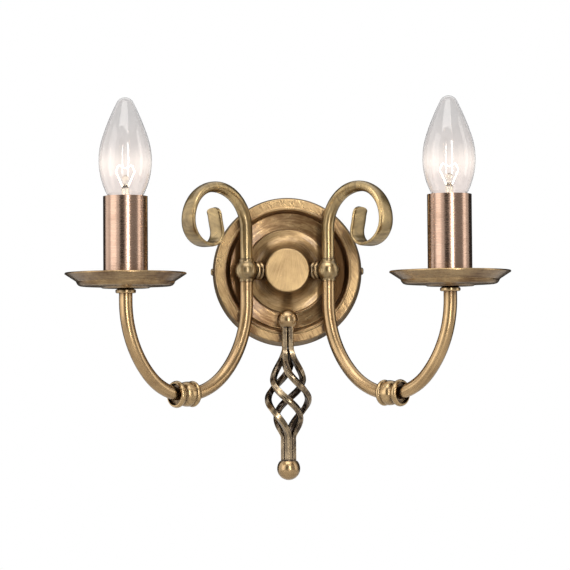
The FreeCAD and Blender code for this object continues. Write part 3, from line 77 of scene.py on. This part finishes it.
# The world lights the object softly, while the camera, gloss and glass see it as plain white.
world = bpy.data.worlds.new("open_white")
bpy.context.scene.world = world
world.use_nodes = True
sky = world.node_tree
sky.nodes.clear()
sky_out = sky.nodes.new("ShaderNodeOutputWorld")
sky_mix = sky.nodes.new("ShaderNodeMixShader")
sky_soft = sky.nodes.new("ShaderNodeBackground")
sky_soft.inputs["Color"].default_value = (1.0, 0.99, 0.97, 1)
sky_soft.inputs["Strength"].default_value = 0.42
sky_white = sky.nodes.new("ShaderNodeBackground")
sky_white.inputs["Color"].default_value = (1, 1, 1, 1)
sky_white.inputs["Strength"].default_value = 1.0
ray = sky.nodes.new("ShaderNodeLightPath")
seen = number(sky, "MAXIMUM", ray.outputs["Is Camera Ray"], ray.outputs["Is Glossy Ray"])
seen = number(sky, "MAXIMUM", seen, ray.outputs["Is Transmission Ray"])
link(sky, seen, sky_mix.inputs["Fac"])
link(sky, sky_soft.outputs[0], sky_mix.inputs[1])
link(sky, sky_white.outputs[0], sky_mix.inputs[2])
link(sky, sky_mix.outputs[0], sky_out.inputs["Surface"])

LIGHT_WHITE = (1.0, 0.985, 0.96)
CARD_DISTANCE = 2.1
CARD_FOOT = -1.6
CARD_FACET = 6


def curved_card(name, start, end, top, brightness):
    """A tall card bent round the lamp from one azimuth to another, in facets of a few degrees."""
    sheet = bmesh.new()
    foot = sheet.verts.new((0, -CARD_DISTANCE, CARD_FOOT))
    bmesh.ops.rotate(sheet, verts=[foot], cent=(0, 0, 0),
                     matrix=Matrix.Rotation(math.radians(start), 3, "Z"))
    bmesh.ops.spin(sheet, geom=[foot], cent=(0, 0, 0), axis=(0, 0, 1),
                   angle=math.radians(end - start), steps=round((end - start) / CARD_FACET))
    grown = bmesh.ops.extrude_edge_only(sheet, edges=sheet.edges[:])
    risen = [item for item in grown["geom"] if isinstance(item, bmesh.types.BMVert)]
    bmesh.ops.translate(sheet, vec=(0, 0, top - CARD_FOOT), verts=risen)
    paint, shader = new_finish(name + "_paint")
    shader.inputs["Base Color"].default_value = (0.0, 0.0, 0.0, 1)
    shader.inputs["Roughness"].default_value = 0.95
    shader.inputs["Specular IOR Level"].default_value = 0.0
    shader.inputs["Emission Color"].default_value = (*LIGHT_WHITE, 1)
    shader.inputs["Emission Strength"].default_value = brightness
    made = studio_piece(name, sheet, paint)
    made.visible_camera = False
    made.visible_shadow = False
    made.visible_diffuse = False
    made.visible_transmission = False


for card_name, card_start, card_end, card_top, card_brightness in (
        ("flag_middle", -28, -2, 1.5, 0.03),
        ("card_right", 21, 88, 1.9, 0.34),
        ("card_right_edge", 88, 106, 1.9, 0.85),
        ("flag_back_right", 106, 180, 1.9, 0.035),
        ("flag_back_left", -180, -116, 1.9, 0.035),
        ("card_left_edge", -116, -92, 1.9, 1.30)):
    curved_card(card_name, card_start, card_end, card_top, card_brightness)

LIGHT_DISTANCE = 1.55
LAMP_MIDDLE = Vector((0, -0.07, -0.02))
for light_name, width, height, watts, azimuth, elevation in (
        ("soft_left", 0.9, 1.6, 6.0, -62, 14),
        ("soft_right", 0.5, 1.6, 4.5, 78, 14),
        ("strip_right", 0.16, 1.5, 9.0, 13, 6),
        ("soft_top", 1.2, 0.8, 9.0, -12, 62)):
    light = bpy.data.lights.new(light_name, "AREA")
    light.shape = "RECTANGLE"
    light.size = width
    light.size_y = height
    light.energy = watts
    light.color = LIGHT_WHITE
    hung = bpy.data.objects.new(light_name, light)
    bpy.context.collection.objects.link(hung)
    hung.matrix_world = facing(azimuth, elevation, LIGHT_DISTANCE, LAMP_MIDDLE)

FLOOR_HALF = 0.9
FLOOR_PLACE = (0, -0.1, -0.36)
floor_shape = bmesh.new()
bmesh.ops.create_grid(floor_shape, x_segments=1, y_segments=1, size=FLOOR_HALF)
bmesh.ops.translate(floor_shape, vec=FLOOR_PLACE, verts=floor_shape.verts)
floor_paint, floor_shader = new_finish("floor_paint")
floor_shader.inputs["Base Color"].default_value = (0.90, 0.89, 0.88, 1)
floor_shader.inputs["Roughness"].default_value = 0.8
floor = studio_piece("floor", floor_shape, floor_paint)

# The shift is given in pixels of the photograph.
PHOTO_SIDE = 570
camera_data = bpy.data.cameras.new("camera")
camera_data.sensor_width = 36
camera_data.lens = 132.8
camera_data.shift_x = -2.1 / PHOTO_SIDE
camera_data.shift_y = -12.8 / PHOTO_SIDE
camera_data.clip_start = 0.05
camera = bpy.data.objects.new("camera", camera_data)
bpy.context.collection.objects.link(camera)
camera_roll = math.radians(0.39)
camera.matrix_world = (facing(azimuth=-0.30, elevation=-2.33, distance=1.5,
                              middle=Vector((0, 0, 0)))
                       @ Matrix.Rotation(-camera_roll, 4, "Z"))
bpy.context.scene.camera = camera
bpy.context.scene.view_settings.view_transform = "Standard"

# ---------------------------------------------------------------------------------------------
# Wall plate and hub: spun and turned brass, aged in a bath and brushed by hand, round and round in
# the dish and on the flare, slantwise on the flat rim, fanwise on the boss, then lacquered.  The
# bath's brown stays in the dish and in the corners.  More brown at the dish's two sides and on the
# skirt is painted shade, and a brown patch on the boss is a painted reflection.


def arrow(tree, kind, *values):
    """A vector maths node on triples or sockets."""
    step = tree.nodes.new("ShaderNodeVectorMath")
    step.operation = kind
    for index, value in enumerate(values):
        if isinstance(value, tuple):
            step.inputs[index].default_value = value
        else:
            link(tree, value, step.inputs[index])
    return step.outputs["Value" if kind in ("LENGTH", "DOT_PRODUCT") else "Vector"]


def split(tree, vector):
    """The X, Y and Z of a vector."""
    parts = tree.nodes.new("ShaderNodeSeparateXYZ")
    link(tree, vector, parts.inputs[0])
    return parts.outputs


def joined(tree, x, y, z):
    """The vector of three numbers."""
    whole = tree.nodes.new("ShaderNodeCombineXYZ")
    link(tree, x, whole.inputs["X"])
    link(tree, y, whole.inputs["Y"])
    link(tree, z, whole.inputs["Z"])
    return whole.outputs[0]


def spread(tree, value, low, high, start=0.3, end=0.7):
    """Goes from low to high as the value goes from start to end, by default where noise varies."""
    step = tree.nodes.new("ShaderNodeMapRange")
    step.inputs["From Min"].default_value = start
    step.inputs["From Max"].default_value = end
    step.inputs["To Min"].default_value = low
    step.inputs["To Max"].default_value = high
    link(tree, value, step.inputs["Value"])
    return step.outputs["Result"]


def noise(tree, place, scale, detail, roughness):
    step = tree.nodes.new("ShaderNodeTexNoise")
    step.inputs["Scale"].default_value = scale
    step.inputs["Detail"].default_value = detail
    step.inputs["Roughness"].default_value = roughness
    link(tree, place, step.inputs["Vector"])
    return step.outputs[0]


def shades(tree, value, first, second, start=0.0, end=1.0):
    """Colours the surface from the first to the second as the value goes from start to end."""
    ramp = tree.nodes.new("ShaderNodeValToRGB")
    stops = ramp.color_ramp.elements
    stops[0].position = start
    stops[0].color = (*first, 1)
    stops[1].position = end
    stops[1].color = (*second, 1)
    link(tree, value, ramp.inputs["Fac"])
    link(tree, ramp.outputs["Color"], tree.nodes["Principled BSDF"].inputs["Base Color"])
    return stops


def relief(tree, height, strength, depth):
    """Makes the surface look uneven by a value, to about that depth in metres."""
    bump = tree.nodes.new("ShaderNodeBump")
    bump.inputs["Strength"].default_value = strength
    bump.inputs["Distance"].default_value = depth
    link(tree, height, bump.inputs["Height"])
    link(tree, bump.outputs["Normal"], tree.nodes["Principled BSDF"].inputs["Normal"])


def place_on_piece(tree):
    return tree.nodes.new("ShaderNodeTexCoord").outputs["Object"]


def grain_place(tree, stretch, turn=(0, 0, 0)):
    """Object coordinates turned, then stretched, so that noise on them makes scratches."""
    turned = tree.nodes.new("ShaderNodeMapping")
    turned.vector_type = "TEXTURE"
    turned.inputs["Rotation"].default_value = [math.radians(angle) for angle in turn]
    turned.inputs["Scale"].default_value = [1.0 / share for share in stretch]
    link(tree, place_on_piece(tree), turned.inputs["Vector"])
    return turned.outputs[0]


def from_axis(tree, centre, axis):
    """The way from a turning axis to the point, square to that axis."""
    away = arrow(tree, "SUBTRACT", place_on_piece(tree), centre)
    return arrow(tree, "MULTIPLY", away, (1, 0, 1) if axis == "Y" else (1, 1, 0))


def ring_place(tree, centre, axis, round_scale, across_scale):
    """Coordinates that run round an axis, so that noise on them makes turned rings."""
    flat = from_axis(tree, centre, axis)
    way = split(tree, arrow(tree, "NORMALIZE", flat))
    along = split(tree, place_on_piece(tree))[axis]
    across = number(tree, "ADD", arrow(tree, "LENGTH", flat), along)
    return joined(tree, number(tree, "MULTIPLY", way["X"], round_scale),
                  number(tree, "MULTIPLY", way["Z" if axis == "Y" else "Y"], round_scale),
                  number(tree, "MULTIPLY", across, across_scale))


def brushed_round(centre, axis):
    """The direction of a brush that was held to the piece as it turned."""
    def direction(tree):
        return arrow(tree, "CROSS_PRODUCT", (0, 1, 0) if axis == "Y" else (0, 0, 1),
                     from_axis(tree, centre, axis))
    return direction


# A Mix node has sockets for each kind of value; these are the ones for vectors.
MIX_FIRST = 4
MIX_SECOND = 5
MIX_RESULT = 1


def mixed(tree, share, first, second):
    """The first vector where the share is 0, the second where it is 1."""
    step = tree.nodes.new("ShaderNodeMix")
    step.data_type = "VECTOR"
    link(tree, share, step.inputs[0])
    for socket, vector in ((step.inputs[MIX_FIRST], first), (step.inputs[MIX_SECOND], second)):
        if isinstance(vector, tuple):
            socket.default_value = vector
        else:
            link(tree, vector, socket)
    return step.outputs[MIX_RESULT]


# The colour halfway to the brown is mixed by two shares, a little brighter than the mean.
MIDDLE_BRIGHT = 0.56
MIDDLE_BROWN = 0.44
SPECKS_PER_PATCH = 5.5
EDGE_WEAR = 7.0
SCRATCH_RELIEF = 0.0002


def aged_brass(name, bright, brown, shine, scratches, scratch_depth, patches, brown_share, hollow,
               hollow_brown=0.9, edge=0.0, brush=None, brush_strength=0.0, kept_brown_and_shade=None,
               streaks=0.38, stains=0.10, lacquer=0.35):
    """Aged brass: a bright metal, a brown patina in patches and hollows, and fine scratches.

    shine is the metal's roughness, patches how small its clouds of brown are.  brown_share, streaks
    and stains are how brown the clouds, the scratches and the specks get.  The brown is deeper by
    hollow_brown in hollows up to the size hollow, and gone from edges rounded to the radius edge.
    scratches gives the coordinates of the scratch pattern, brush the direction of the brushing,
    and kept_brown_and_shade how much more brown is put at a place: patina that is left there, and
    on some pieces painted shade and reflection."""
    finish, shader = new_finish(name)
    tree = finish.node_tree
    shader.inputs["Metallic"].default_value = 1.0
    shader.inputs["Coat Weight"].default_value = lacquer
    shader.inputs["Coat Roughness"].default_value = 0.12
    if brush:
        shader.inputs["Anisotropic"].default_value = brush_strength
        shader.inputs["Anisotropic Rotation"].default_value = 0.25
        link(tree, brush(tree), shader.inputs["Tangent"])
    fine = noise(tree, scratches(tree), 1.0, detail=5.0, roughness=0.65)
    cloud = noise(tree, place_on_piece(tree), patches, detail=4.0, roughness=0.6)
    speck = noise(tree, place_on_piece(tree), patches * SPECKS_PER_PATCH, detail=3.0, roughness=0.7)
    brownness = number(tree, "ADD", spread(tree, cloud, 0.0, brown_share),
                       spread(tree, fine, 0.0, streaks))
    brownness = number(tree, "ADD", brownness, spread(tree, speck, -stains, stains))
    # kept_brown_and_shade adds patina, and on the plate, hub and bars painted shade and reflection
    # too.
    if kept_brown_and_shade:
        brownness = number(tree, "ADD", brownness, kept_brown_and_shade(tree))
    if hollow:
        corner = tree.nodes.new("ShaderNodeAmbientOcclusion")
        corner.inputs["Distance"].default_value = hollow
        corner.samples = 6
        closed = number(tree, "SUBTRACT", 1.0, corner.outputs["AO"])
        brownness = number(tree, "ADD", brownness, number(tree, "MULTIPLY", closed, hollow_brown))
    if edge:
        rounded = tree.nodes.new("ShaderNodeBevel")
        rounded.samples = 4
        rounded.inputs["Radius"].default_value = edge
        true_side = tree.nodes.new("ShaderNodeNewGeometry")
        level = arrow(tree, "DOT_PRODUCT", rounded.outputs[0], true_side.outputs["Normal"])
        worn = number(tree, "MULTIPLY", number(tree, "SUBTRACT", 1.0, level), EDGE_WEAR)
        brownness = number(tree, "SUBTRACT", brownness, number(tree, "MINIMUM", worn, 1.0))
    middle = shades(tree, brownness, bright, brown).new(0.5)
    middle.color = (*[a * MIDDLE_BRIGHT + b * MIDDLE_BROWN for a, b in zip(bright, brown)], 1)
    rough = number(tree, "ADD", spread(tree, fine, shine - 0.05, shine + 0.08),
                   spread(tree, cloud, -0.03, 0.06))
    link(tree, rough, shader.inputs["Roughness"])
    relief(tree, fine, scratch_depth, SCRATCH_RELIEF)
    return finish


def dress(finish, *names):
    """Gives CAD pieces a finish."""
    for name in names:
        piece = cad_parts[name]
        piece.data.materials.clear()
        piece.data.materials.append(finish)
        for face in piece.data.polygons:
            face.material_index = 0


GOLD = (0.595, 0.410, 0.200)
BROWN = (0.135, 0.070, 0.028)

# In metres: the edges of dish and skirt are distances from the plate's axis, the boss's front lies
# at a distance from the wall, and one finish passes into the next over twice the border.
PLATE_MIDDLE = (0, 0, 0)
DISH_EDGE = 0.0436
SKIRT_START = 0.0524
SKIRT_FULL = 0.0529
BOSS_DEPTH = 0.0345
BORDER = 0.0003
FAN_ROOT = (0.003, 0, 0.030)
# Middle and radius of the boss's brown patch, a painted reflection.
PATCH_MIDDLE = (-0.0068, 0, 0.0010)
PATCH_RADIUS = 0.0080
RIM_SLANT = 62
RIM_BRUSH = (0.47, 0.0, -0.88)


def on_rim(tree):
    """1 on the flat rim, 0 inside the bead."""
    reach = arrow(tree, "LENGTH", from_axis(tree, PLATE_MIDDLE, "Y"))
    return spread(tree, reach, 0.0, 1.0, DISH_EDGE - BORDER, DISH_EDGE + BORDER)


def on_boss(tree):
    """1 on the hub's flat front, 0 on its flare."""
    depth = split(tree, place_on_piece(tree))["Y"]
    return spread(tree, depth, 1.0, 0.0, -BOSS_DEPTH - BORDER, -BOSS_DEPTH + BORDER)


def plate_scratches(tree):
    return mixed(tree, on_rim(tree), ring_place(tree, PLATE_MIDDLE, "Y", 3.0, 820),
                 grain_place(tree, (90, 1, 900), (0, RIM_SLANT, 0)))


def plate_brush(tree):
    return mixed(tree, on_rim(tree), brushed_round(PLATE_MIDDLE, "Y")(tree), RIM_BRUSH)


def dish_brown_and_side_shade(tree):
    """The dish keeps more of the brown than the rim.  The extra brown at its two sides is painted
    shade, the dark sectors of the round brushing's reflection.
    """
    dish = number(tree, "SUBTRACT", 1.0, on_rim(tree))
    outward = arrow(tree, "NORMALIZE", from_axis(tree, PLATE_MIDDLE, "Y"))
    # Painted shade: more brown the further the point lies to the dish's left or right.
    sideways = number(tree, "ABSOLUTE", arrow(tree, "DOT_PRODUCT", outward, (1, 0, 0)))
    sideways = number(tree, "POWER", sideways, 2.0)
    return number(tree, "MULTIPLY", dish, spread(tree, sideways, 0.22, 0.62, start=0.2, end=1.0))


def skirt_painted_shade(tree):
    """The skirt behind the rim is browned too, as painted shade for the dark that its side shows.
    """
    reach = arrow(tree, "LENGTH", from_axis(tree, PLATE_MIDDLE, "Y"))
    # Painted shade: brown that rises across the skirt, all round the plate.
    return spread(tree, reach, 0.0, 0.55, SKIRT_START, SKIRT_FULL)


def plate_brown_and_shade(tree):
    return number(tree, "ADD", dish_brown_and_side_shade(tree), skirt_painted_shade(tree))


def hub_scratches(tree):
    return mixed(tree, on_boss(tree), ring_place(tree, PLATE_MIDDLE, "Y", 3.0, 720),
                 ring_place(tree, FAN_ROOT, "Y", 52.0, 60))


def hub_brush(tree):
    return mixed(tree, on_boss(tree), brushed_round(PLATE_MIDDLE, "Y")(tree),
                 from_axis(tree, FAN_ROOT, "Y"))


def hub_brown_and_reflection(tree):
    """The flare keeps the brown, the boss is brushed bright but for a brown patch on its left,
    which is a painted reflection.
    """
    # Painted reflection: a soft brown patch left of the boss's middle.
    patch = arrow(tree, "LENGTH", from_axis(tree, PATCH_MIDDLE, "Y"))
    patch = number(tree, "MULTIPLY", on_boss(tree),
                   spread(tree, patch, 0.34, 0.0, start=0.0, end=PATCH_RADIUS))
    return number(tree, "ADD", patch, spread(tree, on_boss(tree), 0.22, -0.10, start=0.0, end=1.0))


plate_finish = aged_brass("plate_brass", GOLD, BROWN, 0.29, plate_scratches, scratch_depth=0.55,
                          patches=30.0, brown_share=0.42, hollow=0.010, edge=0.0007,
                          brush=plate_brush, brush_strength=0.72, kept_brown_and_shade=plate_brown_and_shade,
                          streaks=0.66)
dress(plate_finish, "backplate")

hub_finish = aged_brass("hub_brass", GOLD, BROWN, 0.32, hub_scratches, scratch_depth=0.50,
                        patches=34.0, brown_share=0.34, hollow=0.008, edge=0.0008,
                        brush=hub_brush, brush_strength=0.80, kept_brown_and_shade=hub_brown_and_reflection,
                        streaks=0.48)
dress(hub_finish, "hub")

# ---------------------------------------------------------------------------------------------
# The arms: drawn brass tube, bent cold, so its scratches run along it.  Turned balls, beads and
# knuckles are screwed and soldered on, and the brown is nearly black where they meet the tube and
# in their grooves.  The two screws at the wall plate's sides have the balls' finish.

SIDES = ("left", "right")

# In degrees forward of the wall, in metres, and in scratches to the metre.
ARM_TURN = 42
TUBE_RADIUS = 0.0045
BEND_DEPTH_SHARE = 0.592
SCRATCHES_ACROSS = 520
SCRATCHES_ALONG = 14


def along_arm(side):
    """Coordinates that run along a side's J: across the arm's plane, across the bend, along.

    The bend is taken as half an ellipse, whose depth is a share of its reach."""
    low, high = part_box(side + "_arm_ball")
    root = (low + high) / 2
    low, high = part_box(side + "_drip_pan")
    tip = (low + high) / 2
    out = Vector((tip.x - root.x, tip.y - root.y, 0))
    half = out.length / 2
    depth = out.length * BEND_DEPTH_SHARE
    low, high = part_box(side + "_inner_arm")
    middle = root + out / 2
    middle.z = low.z + TUBE_RADIUS + depth
    out.normalize()

    def place(tree):
        away = arrow(tree, "SUBTRACT", place_on_piece(tree), tuple(middle))
        height = arrow(tree, "DOT_PRODUCT", away, (0, 0, 1))
        reach = arrow(tree, "DOT_PRODUCT", away, tuple(out))
        across = arrow(tree, "DOT_PRODUCT", away, (-out.y, out.x, 0))
        drop = number(tree, "MULTIPLY", number(tree, "MINIMUM", height, 0.0), half / depth)
        ring = number(tree, "SQRT", number(tree, "ADD", number(tree, "MULTIPLY", drop, drop),
                                           number(tree, "MULTIPLY", reach, reach)))
        along = number(tree, "ADD", reach, height)
        return joined(tree, number(tree, "MULTIPLY", across, SCRATCHES_ACROSS),
                      number(tree, "MULTIPLY", ring, SCRATCHES_ACROSS),
                      number(tree, "MULTIPLY", along, SCRATCHES_ALONG))
    return place


ball_finish = aged_brass("ball_brass", (0.52, 0.375, 0.185), (0.060, 0.036, 0.018), 0.28,
                         lambda tree: grain_place(tree, (330, 330, 90)),
                         scratch_depth=0.12, patches=120.0, brown_share=0.55, hollow=0.0045,
                         hollow_brown=1.7, stains=0.05, lacquer=0.5)
for side in SIDES:
    arm_finish = aged_brass(side + "_arm_brass", (0.64, 0.435, 0.215), BROWN, 0.27,
                            along_arm(side), scratch_depth=0.12, patches=38.0, brown_share=0.46,
                            hollow=0.004, hollow_brown=1.5, stains=0.04, streaks=0.42,
                            lacquer=0.5)
    dress(arm_finish, side + "_inner_arm", side + "_outer_arm")
    turn = -ARM_TURN if side == "left" else ARM_TURN
    turned_finish = aged_brass(side + "_turned_brass", (0.64, 0.44, 0.215), (0.050, 0.028, 0.013),
                               0.25, lambda tree: grain_place(tree, (1500, 60, 60), (0, 0, turn)),
                               scratch_depth=0.10, patches=70.0, brown_share=0.40, hollow=0.0045,
                               hollow_brown=1.3, edge=0.0005, stains=0.04, streaks=0.30,
                               lacquer=0.5)
    dress(turned_finish, side + "_stub_collar", side + "_knuckle_barrel",
          side + "_knuckle_flange", side + "_pan_collar")
    dress(ball_finish, side + "_arm_ball")
dress(ball_finish, "cover_screws")

# ---------------------------------------------------------------------------------------------
# The scrolls: brass rod, hammered out flat bend by bend.  The broad face keeps a brown film with
# streaks along the strip, and the edges are rubbed bright.

for side in SIDES:
    turn = -ARM_TURN if side == "left" else ARM_TURN
    scroll_finish = aged_brass(side + "_scroll_brass", (0.66, 0.475, 0.220), (0.105, 0.070, 0.036),
                               0.27, lambda tree: grain_place(tree, (45, 620, 45), (0, 0, turn)),
                               scratch_depth=0.15, patches=48.0, brown_share=0.52, hollow=0.004,
                               hollow_brown=1.4, edge=0.0008, stains=0.04, streaks=0.45,
                               lacquer=0.5)
    dress(scroll_finish, side + "_scroll")

# ---------------------------------------------------------------------------------------------
# The finial: a turned ball, four square brass bars twisted together into a basket, and a ball to
# close it.  The bars' insides are painted nearly black as painted shade inside the basket, and
# their corners are rubbed bright.

finial_finish = aged_brass("finial_ball_brass", (0.54, 0.365, 0.18), (0.075, 0.038, 0.017), 0.24,
                           lambda tree: grain_place(tree, (90, 90, 1100)),
                           scratch_depth=0.08, patches=110.0, brown_share=0.42, hollow=0.004,
                           hollow_brown=2.0, stains=0.04, streaks=0.25, lacquer=0.5)
dress(finial_finish, "finial_top_ball", "finial_bottom_ball")
low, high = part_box("finial_bottom_ball")
finial_axis = (0, (low.y + high.y) / 2, 0)


def bar_brown_and_inner_shade(tree):
    """Painted shade: much brown on faces that look into the basket, where shade falls, less on
    faces that look out of it.
    """
    outward = arrow(tree, "NORMALIZE", from_axis(tree, finial_axis, "Z"))
    true_side = tree.nodes.new("ShaderNodeNewGeometry")
    # Painted shade by which way a face looks: darkest facing into the basket.
    facing_out = arrow(tree, "DOT_PRODUCT", outward, true_side.outputs["Normal"])
    return spread(tree, facing_out, 1.0, 0.36, start=-0.20, end=0.70)


bar_finish = aged_brass("bar_brass", (0.76, 0.57, 0.34), (0.034, 0.020, 0.012), 0.22,
                        lambda tree: grain_place(tree, (420, 420, 60)),
                        scratch_depth=0.12, patches=80.0, brown_share=0.45, hollow=0.0018,
                        hollow_brown=2.2, edge=0.0007, stains=0.04, kept_brown_and_shade=bar_brown_and_inner_shade,
                        lacquer=0.5)
dress(bar_finish, "finial_bar_1", "finial_bar_2", "finial_bar_3", "finial_bar_4")

# ---------------------------------------------------------------------------------------------
# Drip pans and candle sleeves: the pans are spun and aged like the plate.  The sleeves are rolled
# tube, brushed round and round on a lathe, with a satin coppery lacquer.

for side in SIDES:
    low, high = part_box(side + "_drip_pan")
    centre = ((low.x + high.x) / 2, (low.y + high.y) / 2, 0)
    pan_finish = aged_brass(side + "_pan_brass", (0.55, 0.385, 0.195), BROWN, 0.27,
                            lambda tree: ring_place(tree, centre, "Z", 3.0, 1500),
                            scratch_depth=0.22, patches=42.0, brown_share=0.60, hollow=0.006,
                            edge=0.0005, brush=brushed_round(centre, "Z"),
                            brush_strength=0.6, kept_brown_and_shade=lambda tree: 0.12, streaks=0.5)
    dress(pan_finish, side + "_drip_pan")
    sleeve_finish = aged_brass(side + "_sleeve_copper", (0.55, 0.375, 0.28), (0.22, 0.115, 0.068),
                               0.22, lambda tree: ring_place(tree, centre, "Z", 1.6, 2600),
                               scratch_depth=0.20, patches=26.0, brown_share=0.18, hollow=0.0,
                               brush=brushed_round(centre, "Z"), brush_strength=0.75)
    dress(sleeve_finish, side + "_candle_sleeve")

# ---------------------------------------------------------------------------------------------
# The lamps: blown clear glass with a pressed stem and a looped tungsten filament at full glow.
# The glass beside the filament has a painted glow for the filament's glare.  The filament's smoke
# has greyed the glass, most of all towards the tip.

GLOW_REACH = 0.012
GLASS_RELIEF = 0.0004


def clear_glass(name, tip_tint, neck_tint, neck_level, tip_level, roughness, painted_glow=0.0,
                painted_glow_level=0.0):
    """Clear glass whose tint changes with the height; haze is a painted glow, how much the glass
    shines by itself near the filament's height.
    """
    finish, shader = new_finish(name)
    tree = finish.node_tree
    shader.inputs["Transmission Weight"].default_value = 1.0
    shader.inputs["IOR"].default_value = 1.46
    wave = noise(tree, grain_place(tree, (1, 1, 0.25)), 60.0, detail=2.0, roughness=0.5)
    level = split(tree, place_on_piece(tree))["Z"]
    height = spread(tree, level, 0.0, 1.0, neck_level, tip_level)
    height = number(tree, "ADD", height, spread(tree, wave, -0.06, 0.06))
    shades(tree, height, neck_tint, tip_tint)
    link(tree, spread(tree, wave, roughness, roughness + 0.03), shader.inputs["Roughness"])
    # A painted glow: the glass shines by itself in a band round the filament's height.
    if painted_glow:
        near = number(tree, "ABSOLUTE", number(tree, "SUBTRACT", level, painted_glow_level))
        shader.inputs["Emission Color"].default_value = (1.0, 0.90, 0.76, 1)
        link(tree, spread(tree, near, painted_glow, 0.0, start=0.0, end=GLOW_REACH),
             shader.inputs["Emission Strength"])
    relief(tree, wave, 0.08, GLASS_RELIEF)
    return finish


low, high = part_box("left_lamp_filament")
bulb_glass = clear_glass("bulb_glass", tip_tint=(0.775, 0.760, 0.755),
                         neck_tint=(0.905, 0.855, 0.830), neck_level=0.060, tip_level=0.100,
                         roughness=0.0, painted_glow=0.075, painted_glow_level=high.z + 0.001)
stem_glass = clear_glass("stem_glass", tip_tint=(1.0, 0.96, 0.86), neck_tint=(1.0, 0.95, 0.84),
                         neck_level=0.030, tip_level=0.060, roughness=0.02)
glow, glow_shader = new_finish("glowing_filament")
glow_tree = glow.node_tree
glow_shader.inputs["Base Color"].default_value = (0.9, 0.7, 0.45, 1)
glow_shader.inputs["Emission Color"].default_value = (1.0, 0.80, 0.52, 1)
heat = noise(glow_tree, place_on_piece(glow_tree), 400.0, detail=2.0, roughness=0.5)
link(glow_tree, spread(glow_tree, heat, 40.0, 60.0), glow_shader.inputs["Emission Strength"])
for side in SIDES:
    dress(bulb_glass, side + "_lamp_glass")
    dress(stem_glass, side + "_lamp_stem")
    dress(glow, side + "_lamp_filament")

# ---------------------------------------------------------------------------------------------
# Fittings behind the plate, inside the arms and in the sleeves: machined brass, zinc plated steel,
# moulded nylon and resin, the two insulated wires of each arm, and the lamps' brass caps with
# black glass round the contact.

FITTING_RELIEF = 0.0001


def plain_metal(name, colour, rough, grain):
    """Bare metal with the fine marks of the tool or of the plating."""
    finish, shader = new_finish(name)
    tree = finish.node_tree
    shader.inputs["Metallic"].default_value = 1.0
    fine = noise(tree, grain_place(tree, grain), 1.0, detail=4.0, roughness=0.6)
    shades(tree, fine, [c * 0.75 for c in colour], colour)
    link(tree, spread(tree, fine, rough - 0.05, rough + 0.1), shader.inputs["Roughness"])
    relief(tree, fine, 0.15, FITTING_RELIEF)
    return finish


def moulded(name, colour, rough, sheen=0.35):
    """Nylon, resin or glass from a mould, with a fine skin and faint clouds of colour."""
    finish, shader = new_finish(name)
    tree = finish.node_tree
    shader.inputs["Specular IOR Level"].default_value = sheen
    skin = noise(tree, place_on_piece(tree), 900.0, detail=3.0, roughness=0.6)
    cloud = noise(tree, place_on_piece(tree), 60.0, detail=3.0, roughness=0.5)
    shades(tree, cloud, [c * 0.86 for c in colour], colour, start=0.3, end=0.7)
    link(tree, spread(tree, skin, rough - 0.06, rough + 0.08), shader.inputs["Roughness"])
    relief(tree, skin, 0.2, FITTING_RELIEF)
    return finish


machined = plain_metal("machined_brass", (0.80, 0.60, 0.30), 0.28, (900, 900, 900))
zinc = plain_metal("zinc_plate", (0.62, 0.63, 0.62), 0.34, (300, 300, 1200))
nylon = moulded("white_nylon", (0.80, 0.79, 0.74), 0.42)
resin = moulded("black_resin", (0.035, 0.034, 0.033), 0.38)
insulation = moulded("brown_insulation", (0.20, 0.10, 0.05), 0.45)
black_glass = moulded("black_glass", (0.012, 0.012, 0.014), 0.12, sheen=0.6)
dress(machined, "terminal_inserts", "terminal_screws", "earth_screw", "holder_nuts")
dress(zinc, "wall_bracket", "hub_screws", "finial_stud", "finial_nut")
dress(nylon, "terminal_block")
for side in SIDES:
    dress(machined, side + "_arm_stub", side + "_holder_nipple", side + "_lampholder_shell",
          side + "_lampholder_contact", side + "_lamp_cap")
    dress(resin, side + "_lampholder_body")
    dress(insulation, side + "_arm_wires")
    dress(black_glass, side + "_lamp_contact")
